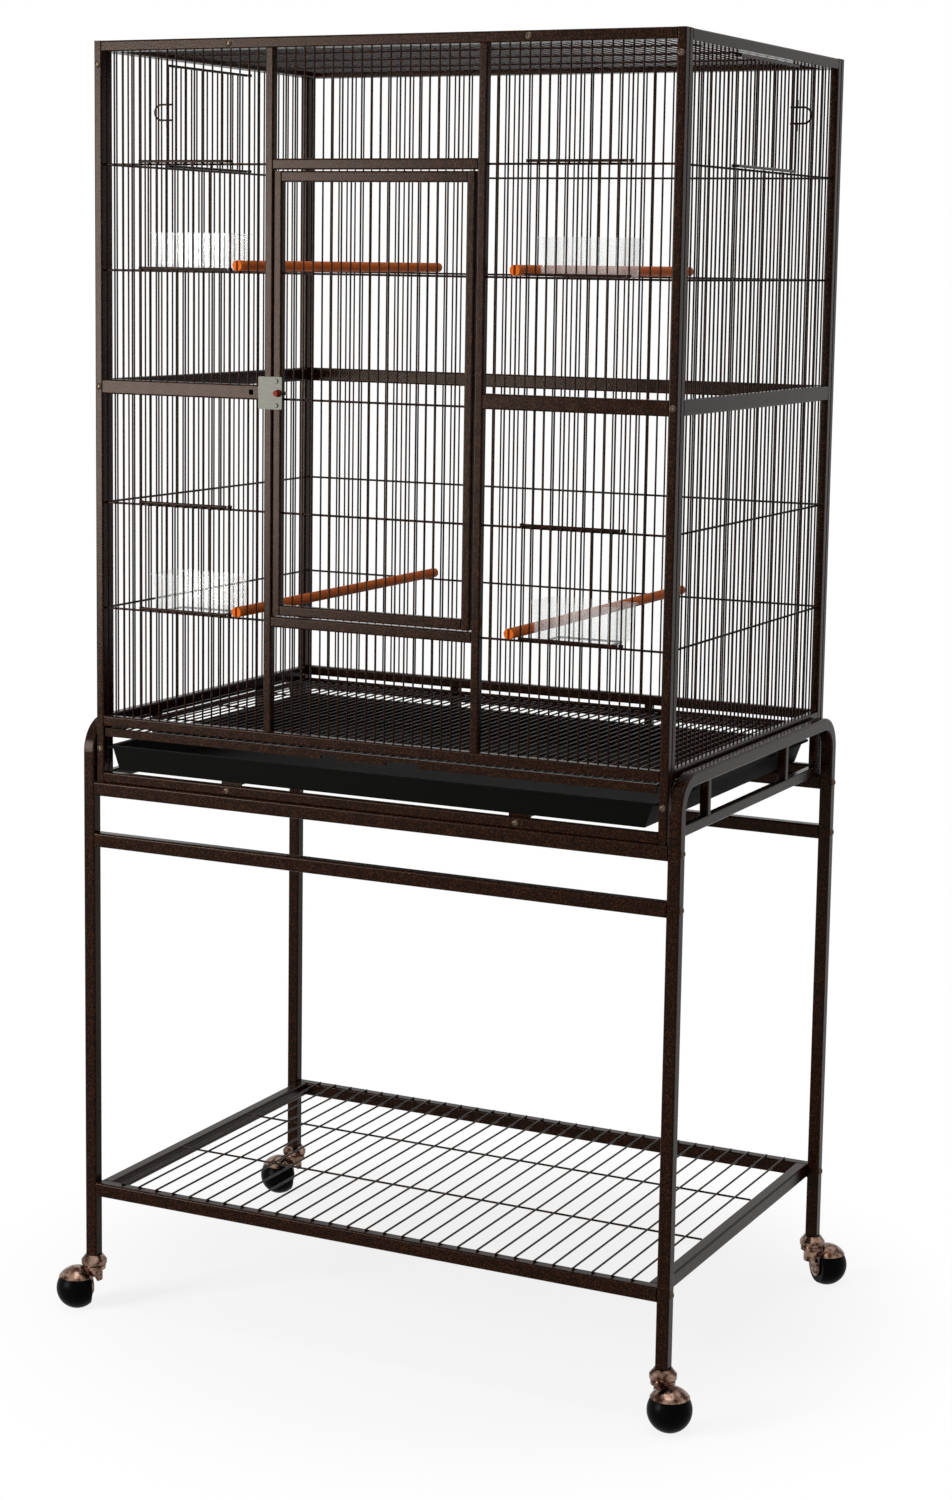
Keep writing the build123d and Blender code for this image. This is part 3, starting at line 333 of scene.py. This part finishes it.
def moulded_plastic(name, tone, low, high, grain_mm, height_mm):
    """Moulded plastic with the fine grain of its mould, drawn coarse enough to show."""
    if name in bpy.data.materials:
        return bpy.data.materials[name]
    made, tree = new_material(name)
    place = add(tree, "ShaderNodeTexCoord").outputs["Object"]
    grain = add(
        tree, "ShaderNodeTexNoise", {"Vector": place, "Scale": 1 / (grain_mm * MM), "Detail": 3.0}
    )
    tint = add(tree, "ShaderNodeMix", {"Factor": grain.outputs["Fac"]}, data_type="RGBA")
    tint.inputs["A"].default_value = (*[c * GRAIN_SHADE for c in tone], 1)
    tint.inputs["B"].default_value = (*[min(1.0, c * GRAIN_LIGHT) for c in tone], 1)
    rough = add(
        tree, "ShaderNodeMapRange", {"Value": grain.outputs["Fac"], "To Min": low, "To Max": high}
    )
    bump = add(
        tree, "ShaderNodeBump",
        {"Height": grain.outputs["Fac"], "Strength": 0.3, "Distance": height_mm * MM},
    )
    shader = add(
        tree, "ShaderNodeBsdfPrincipled",
        {
            "Base Color": tint.outputs["Result"], "Roughness": rough.outputs["Result"],
            "Normal": bump.outputs["Normal"], "Specular IOR Level": PLASTIC_GLOSS, "IOR": 1.5,
        },
    )
    add(tree, "ShaderNodeOutputMaterial", {"Surface": shader.outputs["BSDF"]})
    return made


def clear_polystyrene():
    """Clear polystyrene: thin moulded walls, seen as a faint bright veil with slight flow lines."""
    name = "clear_polystyrene"
    if name in bpy.data.materials:
        return bpy.data.materials[name]
    made, tree = new_material(name)
    place = add(tree, "ShaderNodeTexCoord").outputs["Object"]
    flow = add(
        tree, "ShaderNodeTexNoise", {"Vector": place, "Scale": 1 / FLOW_WIDTH, "Detail": 2.0}
    )
    rough = add(
        tree, "ShaderNodeMapRange", {"Value": flow.outputs["Fac"], "To Min": 0.04, "To Max": 0.12}
    )
    shader = add(
        tree, "ShaderNodeBsdfPrincipled",
        {
            "Base Color": (*colours().cup, 1), "Roughness": rough.outputs["Result"], "IOR": 1.59,
            "Alpha": 0.13,
        },
    )
    add(tree, "ShaderNodeOutputMaterial", {"Surface": shader.outputs["BSDF"]})
    return made


def stained_dowel():
    """Turned softwood dowel under an orange-brown stain: long grain along the perch."""
    name = "stained_dowel"
    if name in bpy.data.materials:
        return bpy.data.materials[name]
    made, tree = new_material(name)
    place = add(tree, "ShaderNodeTexCoord").outputs["Object"]
    along = add(tree, "ShaderNodeMapping", {"Vector": place, "Scale": GRAIN_RUN})
    grain = add(
        tree, "ShaderNodeTexNoise",
        {"Vector": along.outputs["Vector"], "Scale": 1 / sizes().wood_grain, "Detail": 6.0},
    )
    tint = add(tree, "ShaderNodeMix", {"Factor": grain.outputs["Fac"]}, data_type="RGBA")
    tint.inputs["A"].default_value = (*colours().wood_dark, 1)
    tint.inputs["B"].default_value = (*colours().wood, 1)
    rough = add(
        tree, "ShaderNodeMapRange", {"Value": grain.outputs["Fac"], "To Min": 0.38, "To Max": 0.6}
    )
    bump = add(
        tree, "ShaderNodeBump",
        {"Height": grain.outputs["Fac"], "Strength": 0.25, "Distance": 0.15 * MM},
    )
    shader = add(
        tree, "ShaderNodeBsdfPrincipled",
        {
            "Base Color": tint.outputs["Result"], "Roughness": rough.outputs["Result"],
            "Normal": bump.outputs["Normal"], "Specular IOR Level": WOOD_GLOSS, "IOR": 1.5,
        },
    )
    add(tree, "ShaderNodeOutputMaterial", {"Surface": shader.outputs["BSDF"]})
    return made


def bronzed_bolt():
    return plain_metal("bronzed_steel_bolt", colours().bolt, low=0.3, high=0.5, scratch_mm=1.5)


def zinc_plate():
    return plain_metal("zinc_plated_steel", colours().zinc, low=0.45, high=0.62, scratch_mm=1.0)


def bright_steel():
    return plain_metal("bright_drawn_steel", colours().steel, low=0.2, high=0.38, scratch_mm=0.8)


def black_tray():
    return moulded_plastic(
        "black_polystyrene_tray", colours().tray, low=0.42, high=0.6, grain_mm=1.6, height_mm=0.12
    )


def nylon_wheel():
    return moulded_plastic(
        "black_nylon_wheel", colours().wheel, low=0.25, high=0.4, grain_mm=2.5, height_mm=0.05
    )


def red_brown_knob():
    return moulded_plastic(
        "red_brown_knob", colours().knob, low=0.2, high=0.35, grain_mm=1.2, height_mm=0.04
    )


def paint_nodes(names, material):
    """Gives carried-over nodes their finish."""
    for name in names:
        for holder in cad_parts[name].material_slots:
            holder.material = material


def solids_of(node):
    """Lowest and highest corner of each separate solid of a node."""
    work = bmesh.new()
    work.from_mesh(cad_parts[node].data)
    bmesh.ops.remove_doubles(work, verts=work.verts, dist=SAME_PLACE)
    seen = set()
    boxes = []
    for start in work.verts:
        if start.index in seen:
            continue
        seen.add(start.index)
        front = [start]
        low = start.co.copy()
        high = start.co.copy()
        while front:
            here = front.pop()
            low = Vector(map(min, low, here.co))
            high = Vector(map(max, high, here.co))
            for edge in here.link_edges:
                there = edge.other_vert(here)
                if there.index not in seen:
                    seen.add(there.index)
                    front.append(there)
        boxes.append((low, high))
    work.free()
    return boxes


def finish_piece(work, name, material, body, nodes):
    """Turns a bmesh into a piece on its body, smooth with sharp corners, in place of its nodes."""
    bmesh.ops.recalc_face_normals(work, faces=work.faces)
    for face in work.faces:
        face.smooth = True
    for edge in work.edges:
        edge.smooth = edge.is_manifold and edge.calc_face_angle() < SHARP
    mesh = bpy.data.meshes.new(name)
    work.to_mesh(mesh)
    work.free()
    piece = bpy.data.objects.new(name, mesh)
    bpy.context.scene.collection.objects.link(piece)
    piece.data.materials.append(material)
    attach(piece, body)
    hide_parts(*nodes)


def turned_to(axis):
    """Rotation that lays a shape made along Z along a row axis."""
    return (
        Matrix.Rotation(math.pi / 2, 4, "Y"),
        Matrix.Rotation(-math.pi / 2, 4, "X"),
        Matrix.Identity(4),
    )[axis]


def add_wire(work, middle, axis, long, diameter):
    """A straight round wire."""
    bmesh.ops.create_cone(
        work, cap_ends=True, segments=sizes().wire_sides, radius1=diameter / 2,
        radius2=diameter / 2, depth=long, matrix=Matrix.Translation(middle) @ turned_to(axis),
    )


def add_ring(work, middle, radius, thickness):
    """A level ring of round wire."""
    place = Matrix.Translation(middle + Vector((radius, 0, 0)))
    made = bmesh.ops.create_circle(
        work, segments=EYELET_SIDES, radius=thickness / 2,
        matrix=place @ Matrix.Rotation(math.pi / 2, 4, "X"),
    )
    ring = made["verts"]
    rim = list({e for v in ring for e in v.link_edges})
    bmesh.ops.spin(
        work, geom=ring + rim, cent=middle, axis=(0, 0, 1), angle=2 * math.pi, steps=ROUND_STEPS,
        use_merge=True,
    )


def start_wire(work, place, way, diameter):
    """The closed end of a bent wire; returns its rim."""
    made = bmesh.ops.create_circle(
        work, cap_ends=True, segments=sizes().wire_sides, radius=diameter / 2,
        matrix=Matrix.Translation(place) @ way.to_track_quat("Z", "Y").to_matrix().to_4x4(),
    )
    return list({e for v in made["verts"] for e in v.link_edges})


def run_wire(work, rim, step):
    """A straight length of a bent wire."""
    made = bmesh.ops.extrude_edge_only(work, edges=rim)["geom"]
    ends = [g for g in made if isinstance(g, bmesh.types.BMVert)]
    bmesh.ops.translate(work, verts=ends, vec=step)
    return [g for g in made if isinstance(g, bmesh.types.BMEdge) and g.is_boundary]


def bend_wire(work, rim, centre, axis, angle):
    """A bend of a bent wire."""
    ends = list({v for e in rim for v in e.verts})
    steps = round(abs(angle) / BEND_STEP)
    made = bmesh.ops.spin(work, geom=ends + rim, cent=centre, axis=axis, angle=angle, steps=steps)
    return [g for g in made["geom_last"] if isinstance(g, bmesh.types.BMEdge)]


def end_wire(work, rim):
    """Closes an open rim."""
    bmesh.ops.contextual_create(work, geom=rim)


def add_button_head(work, place, outward, radius, height):
    """A domed bolt head with a round socket, spun from its outline."""
    old = set(work.verts)
    points = [work.verts.new((out * radius, 0.0, up * height)) for out, up in HEAD_OUTLINE]
    line = [work.edges.new(pair) for pair in zip(points, points[1:])]
    bmesh.ops.spin(
        work, geom=points + line, cent=(0, 0, 0), axis=(0, 0, 1), angle=2 * math.pi,
        steps=ROUND_STEPS, use_merge=True,
    )
    made = [v for v in work.verts if v not in old]
    bmesh.ops.remove_doubles(work, verts=made, dist=SAME_PLACE)
    made = [v for v in work.verts if v not in old]
    turn = outward.to_track_quat("Z", "Y").to_matrix().to_4x4()
    bmesh.ops.transform(work, verts=made, matrix=Matrix.Translation(place) @ turn)
    end_wire(work, list({e for v in made for e in v.link_edges if e.is_boundary}))


def straight_wires(work, node, thickness):
    """Rebuilds every long solid of a node as a round wire.

    The function thickness gives its diameter from its axis and its width.
    """
    for low, high in solids_of(node):
        size = high - low
        axis = max(range(3), key=lambda i: size[i])
        across = sorted(size)[1]
        if size[axis] < SLENDER * across:
            continue
        add_wire(work, (low + high) / 2, axis, size[axis], thickness(axis, across))


class CAGE_OT_panel_bars(Operator):
    """Round bars and cross wires of the five panels and of the door"""

    bl_idname = "cage.panel_bars"
    bl_label = "Panel bars"

    def execute(self, context):
        paint = hammered_powder_coat()
        bar = sizes().bar
        cross = sizes().cross_wire
        pieces = [(f"{panel}_panel_bars", f"{panel}_bars_round", CAGE) for panel in PANELS]
        pieces.append(("door_bars", "door_bars_round", "front_door"))
        for node, name, body in pieces:
            along = 1 if node == "top_panel_bars" else 2
            work = bmesh.new()
            straight_wires(work, node, lambda axis, across: bar if axis == along else cross)
            finish_piece(work, name, paint, body, [node])
        return {"FINISHED"}


class CAGE_OT_shelf_and_grille(Operator):
    """Round wires of the shelf and of the floor grille"""

    bl_idname = "cage.shelf_and_grille"
    bl_label = "Shelf and grille wires"

    def execute(self, context):
        paint = hammered_powder_coat()
        work = bmesh.new()
        straight_wires(work, "shelf_wires", lambda axis, across: sizes().shelf_wire)
        finish_piece(work, "shelf_wires_round", paint, CAGE, ["shelf_wires"])
        work = bmesh.new()
        rod = sizes().grille_rod
        bar = sizes().bar
        between = (rod + bar) / 2
        straight_wires(work, "floor_grille", lambda axis, across: rod if across > between else bar)
        finish_piece(work, "grille_round", paint, "grille", ["floor_grille"])
        return {"FINISHED"}


class CAGE_OT_feeder_gates(Operator):
    """Feeder gates with eyelets round the bars beside each opening"""

    bl_idname = "cage.feeder_gates"
    bl_label = "Feeder gates"

    def execute(self, context):
        paint = hammered_powder_coat()
        for feeder in FEEDERS:
            node = f"feeder_gate_{feeder}"
            build_gate(node, f"gate_{feeder}", f"{node}_round", paint)
        return {"FINISHED"}


def build_gate(node, body, name, paint):
    """A gate or small door: heavy level wires, thin uprights, eyelets of two rings, any catch."""
    work = bmesh.new()
    heavy = sizes().gate_wire
    edge = sizes().edge_rod
    bar = sizes().bar
    between = (edge + bar) / 2
    straight_wires(
        work, node,
        lambda axis, across: heavy if axis != 2 else (edge if across > between else bar),
    )
    eyelet_limit = 2 * heavy
    catch_limit = 4 * heavy
    for low, high in solids_of(node):
        size = high - low
        if abs(size.x - size.y) < bar and size.z < eyelet_limit:
            outer = max(size.x, size.y) / 2
            wall = outer - bar / 2 - EYELET_PLAY
            middle = (low + high) / 2
            for way in (-1, 1):
                lift = Vector((0, 0, way * size.z / 4))
                add_ring(work, middle + lift, outer - wall / 2, wall)
        elif size.y < heavy and min(size.x, size.z) > catch_limit:
            add_catch(work, low, high)
    finish_piece(work, name, paint, body, [node])


def add_catch(work, low, high):
    """A C of wire that stands out from a small door, with a tail above and below it on the door."""
    wire = sizes().catch_wire
    half = sizes().catch_loop / 2
    middle = (low + high) / 2
    side = 1 if middle.x > 0 else -1
    inner, outer = (low.x, high.x) if side > 0 else (high.x, low.x)
    bend = Vector((outer - side * (wire / 2 + half), middle.y, middle.z))
    run = Vector((bend.x - inner, 0, 0))
    rim = start_wire(work, Vector((inner, middle.y, middle.z + half)), run, wire)
    rim = run_wire(work, rim, run)
    rim = bend_wire(work, rim, bend, (0, 1, 0), side * math.pi)
    rim = run_wire(work, rim, -run)
    end_wire(work, rim)
    door_plane = outer - side * (wire / 2 + TAIL_INSET)
    tail = high.z - middle.z - half
    for way in (-1, 1):
        place = Vector((door_plane, middle.y, middle.z + way * (half + tail / 2)))
        add_wire(work, place, 2, tail, wire)


class CAGE_OT_cup_rests(Operator):
    """Bent wire rests that carry the cups"""

    bl_idname = "cage.cup_rests"
    bl_label = "Cup rests"

    def execute(self, context):
        work = bmesh.new()
        wire = sizes().cross_wire
        bend = sizes().rest_bend
        for low, high in solids_of("cup_rests"):
            left = low.x + wire / 2
            right = high.x - wire / 2
            back = high.y - wire / 2 - bend
            level = (low.z + high.z) / 2
            rim = start_wire(work, Vector((left, low.y, level)), Vector((0, 1, 0)), wire)
            rim = run_wire(work, rim, (0, back - low.y, 0))
            rim = bend_wire(work, rim, (left + bend, back, level), (0, 0, 1), -math.pi / 2)
            rim = run_wire(work, rim, (right - left - 2 * bend, 0, 0))
            rim = bend_wire(work, rim, (right - bend, back, level), (0, 0, 1), -math.pi / 2)
            rim = run_wire(work, rim, (0, low.y - back, 0))
            end_wire(work, rim)
        paint = hammered_powder_coat()
        finish_piece(work, "cup_rests_round", paint, CAGE, ["cup_rests"])
        return {"FINISHED"}


class CAGE_OT_small_doors(Operator):
    """Small side doors with their C-shaped catches of bent wire"""

    bl_idname = "cage.small_doors"
    bl_label = "Small side doors"

    def execute(self, context):
        paint = hammered_powder_coat()
        for side in SIDES:
            build_gate(f"{side}_side_door", f"small_door_{side}", f"{side}_small_door_round", paint)
        return {"FINISHED"}


class CAGE_OT_tubes(Operator):
    """Hammered paint on the tubes, the grille's strips and the tray's straps"""

    bl_idname = "cage.tubes"
    bl_label = "Tubes"

    def execute(self, context):
        names = [f"{panel}_panel_frame" for panel in PANELS]
        names += [f"{side}_side_frame" for side in SIDES]
        for end in ("front", "rear"):
            names += [f"{end}_upper_cross_rail", f"{end}_lower_cross_rail"]
        names += ["shelf_frame", "door_frame", "grille_strip", "tray_straps"]
        paint_nodes(names, hammered_powder_coat())
        return {"FINISHED"}


class CAGE_OT_bolts(Operator):
    """Button-head bolts of the stand and of the cage"""

    bl_idname = "cage.bolts"
    bl_label = "Bolts"

    def execute(self, context):
        for node, axis, shank, height in (
            ("stand_bolts", 0, sizes().stand_shank, sizes().stand_head),
            ("cage_bolts", 1, sizes().cage_shank, sizes().cage_head),
        ):
            work = bmesh.new()
            for low, high in solids_of(node):
                middle = (low + high) / 2
                side = 1 if middle[axis] > 0 else -1
                face = (high if side > 0 else low)[axis] - side * height
                foot = (low if side > 0 else high)[axis]
                place = middle.copy()
                place[axis] = (face + foot) / 2
                add_wire(work, place, axis, abs(face - foot), shank)
                place[axis] = face
                outward = Vector((0, 0, 0))
                outward[axis] = side
                add_button_head(work, place, outward, (high - low)[2] / 2, height)
            finish_piece(work, f"{node}_domed", bronzed_bolt(), CAGE, [node])
        return {"FINISHED"}


class CAGE_OT_fittings(Operator):
    """Latch, pins and plugs"""

    bl_idname = "cage.fittings"
    bl_label = "Fittings"

    def execute(self, context):
        paint_nodes(["latch_plate", "latch_screws"], zinc_plate())
        paint_nodes(["latch_bolt", "door_pivots", "rail_end_plugs"], bright_steel())
        paint_nodes([f"caster_axle_{corner}" for corner in CORNERS], bright_steel())
        paint_nodes(["latch_knob"], red_brown_knob())
        paint_nodes(["caster_sockets"], nylon_wheel())
        return {"FINISHED"}


class CAGE_OT_casters(Operator):
    """Plated hoods and black wheels of the casters"""

    bl_idname = "cage.casters"
    bl_label = "Casters"

    def execute(self, context):
        paint_nodes([f"caster_hood_{corner}" for corner in CORNERS], antique_brass_plate())
        paint_nodes([f"caster_wheel_{corner}" for corner in CORNERS], nylon_wheel())
        return {"FINISHED"}


class CAGE_OT_cups_and_perches(Operator):
    """Clear cups and stained dowels"""

    bl_idname = "cage.cups_and_perches"
    bl_label = "Cups and perches"

    def execute(self, context):
        paint_nodes([f"cup_{feeder}" for feeder in FEEDERS], clear_polystyrene())
        paint_nodes([f"perch_{feeder}" for feeder in FEEDERS], stained_dowel())
        return {"FINISHED"}


class CAGE_OT_tray(Operator):
    """Black tray"""

    bl_idname = "cage.tray"
    bl_label = "Tray"

    def execute(self, context):
        paint_nodes(["tray"], black_tray())
        return {"FINISHED"}


class CAGE_OT_stage(Operator):
    """Floor, white surround, soft lights and the camera"""

    bl_idname = "cage.stage"
    bl_label = "Stage"

    def execute(self, context):
        scene = context.scene
        scene.view_settings.view_transform = "Standard"
        build_world(scene)
        build_floor(scene)
        build_lights(scene)
        build_camera(scene)
        return {"FINISHED"}


def seen_directly(tree):
    """One for rays that show the surround itself: camera, glossy and transmission rays."""
    rays = add(tree, "ShaderNodeLightPath")
    first = add(
        tree, "ShaderNodeMath",
        {0: rays.outputs["Is Camera Ray"], 1: rays.outputs["Is Glossy Ray"]}, operation="MAXIMUM",
    )
    both = add(
        tree, "ShaderNodeMath",
        {0: first.outputs["Value"], 1: rays.outputs["Is Transmission Ray"]}, operation="MAXIMUM",
    )
    return both.outputs["Value"]


def build_world(scene):
    """White where it is seen, an even plain level where it lights."""
    world = bpy.data.worlds.new("studio")
    world.use_nodes = True
    tree = world.node_tree
    tree.nodes.clear()
    shown = seen_directly(tree)
    level = add(
        tree, "ShaderNodeMapRange",
        {"Value": shown, "To Min": scene.cage_stage.ambient, "To Max": 1.0},
    )
    light = add(
        tree, "ShaderNodeBackground",
        {"Color": (1, 1, 1, 1), "Strength": level.outputs["Result"]},
    )
    add(tree, "ShaderNodeOutputWorld", {"Surface": light.outputs["Background"]})
    scene.world = world


def build_floor(scene):
    """A wide pale floor that keeps a faint shadow near the cage and fades to the white surround."""
    stage = scene.cage_stage
    made, tree = new_material("pale_studio_floor")
    place = add(tree, "ShaderNodeTexCoord").outputs["Object"]
    reach = add(tree, "ShaderNodeVectorMath", {0: place}, operation="LENGTH")
    fade = add(
        tree, "ShaderNodeMapRange",
        {
            "Value": reach.outputs["Value"], "From Min": stage.floor_near,
            "From Max": stage.floor_far, "To Min": stage.floor_white, "To Max": 1.0,
        },
        interpolation_type="SMOOTHSTEP",
    )
    shown = add(
        tree, "ShaderNodeMath",
        {0: fade.outputs["Result"], 1: seen_directly(tree)}, operation="MULTIPLY",
    )
    pale = add(tree, "ShaderNodeBsdfDiffuse", {"Color": (*stage.floor, 1)})
    white = add(tree, "ShaderNodeEmission", {"Color": (1, 1, 1, 1), "Strength": 1.0})
    mixed = add(
        tree, "ShaderNodeMixShader",
        {0: shown.outputs["Value"], 1: pale.outputs["BSDF"], 2: white.outputs["Emission"]},
    )
    add(tree, "ShaderNodeOutputMaterial", {"Surface": mixed.outputs["Shader"]})
    work = bmesh.new()
    bmesh.ops.create_grid(work, x_segments=1, y_segments=1, size=FLOOR_REACH)
    mesh = bpy.data.meshes.new("studio_floor")
    work.to_mesh(mesh)
    work.free()
    floor = bpy.data.objects.new("studio_floor", mesh)
    floor.data.materials.append(made)
    scene.collection.objects.link(floor)


def build_lights(scene):
    """A tall soft light at the front left, whose sheen shows on the front, and one overhead."""
    stage = scene.cage_stage
    for name, place, target, size, power in (
        ("key_softbox", KEY_PLACE, KEY_AIM, KEY_SIZE, stage.key_power),
        ("overhead_softbox", FILL_PLACE, FILL_AIM, FILL_SIZE, stage.fill_power),
    ):
        lamp = bpy.data.lights.new(name, "AREA")
        lamp.shape = "RECTANGLE"
        lamp.size, lamp.size_y = size
        lamp.energy = power
        holder = bpy.data.objects.new(name, lamp)
        holder.location = place
        aim = Vector(target) - Vector(place)
        holder.rotation_euler = aim.to_track_quat("-Z", "Y").to_euler()
        scene.collection.objects.link(holder)


def build_camera(scene):
    """Camera at the photograph's viewing angle."""
    azimuth, elevation, roll = (math.radians(a) for a in CAMERA_TURN)
    right = Vector((math.cos(azimuth), math.sin(azimuth), 0))
    ahead = Vector((
        -math.sin(azimuth) * math.cos(elevation),
        math.cos(azimuth) * math.cos(elevation),
        -math.sin(elevation),
    ))
    up = right.cross(ahead)
    across = math.cos(roll) * right + math.sin(roll) * up
    upward = -math.sin(roll) * right + math.cos(roll) * up
    data = bpy.data.cameras.new("photo_camera")
    data.sensor_width = SENSOR_WIDTH
    data.lens = LENS
    data.shift_y = LENS_SHIFT
    data.clip_end = CLIP_END
    camera = bpy.data.objects.new("photo_camera", data)
    turn = Matrix((across, upward, -ahead)).transposed().to_4x4()
    camera.matrix_world = Matrix.Translation(CAMERA_PLACE) @ turn
    scene.collection.objects.link(camera)
    scene.camera = camera


class CAGE_PT_panel(Panel):
    """Buttons and settings of the bird cage"""

    bl_label = "Bird cage"
    bl_idname = "CAGE_PT_panel"
    bl_space_type = "VIEW_3D"
    bl_region_type = "UI"
    bl_category = "Bird cage"

    def draw(self, context):
        for operator in OPERATORS:
            self.layout.operator(operator.bl_idname)
        scene = context.scene
        for group in (scene.cage_sizes, scene.cage_colours, scene.cage_stage):
            box = self.layout.box()
            for name in group.bl_rna.properties.keys():
                if name not in ("rna_type", "name"):
                    box.prop(group, name)


OPERATORS = (
    CAGE_OT_tubes,
    CAGE_OT_panel_bars,
    CAGE_OT_shelf_and_grille,
    CAGE_OT_feeder_gates,
    CAGE_OT_cup_rests,
    CAGE_OT_small_doors,
    CAGE_OT_bolts,
    CAGE_OT_fittings,
    CAGE_OT_casters,
    CAGE_OT_cups_and_perches,
    CAGE_OT_tray,
    CAGE_OT_stage,
)
CLASSES = (CageSizes, CageColours, StageSettings, *OPERATORS, CAGE_PT_panel)


def register():
    for kind in CLASSES:
        bpy.utils.register_class(kind)
    bpy.types.Scene.cage_sizes = PointerProperty(type=CageSizes)
    bpy.types.Scene.cage_colours = PointerProperty(type=CageColours)
    bpy.types.Scene.cage_stage = PointerProperty(type=StageSettings)


def unregister():
    del bpy.types.Scene.cage_stage
    del bpy.types.Scene.cage_colours
    del bpy.types.Scene.cage_sizes
    for kind in reversed(CLASSES):
        bpy.utils.unregister_class(kind)


def main():
    register()
    for operator in OPERATORS:
        group, name = operator.bl_idname.split(".")
        getattr(getattr(bpy.ops, group), name)()


if __name__ == "__main__":
    main()
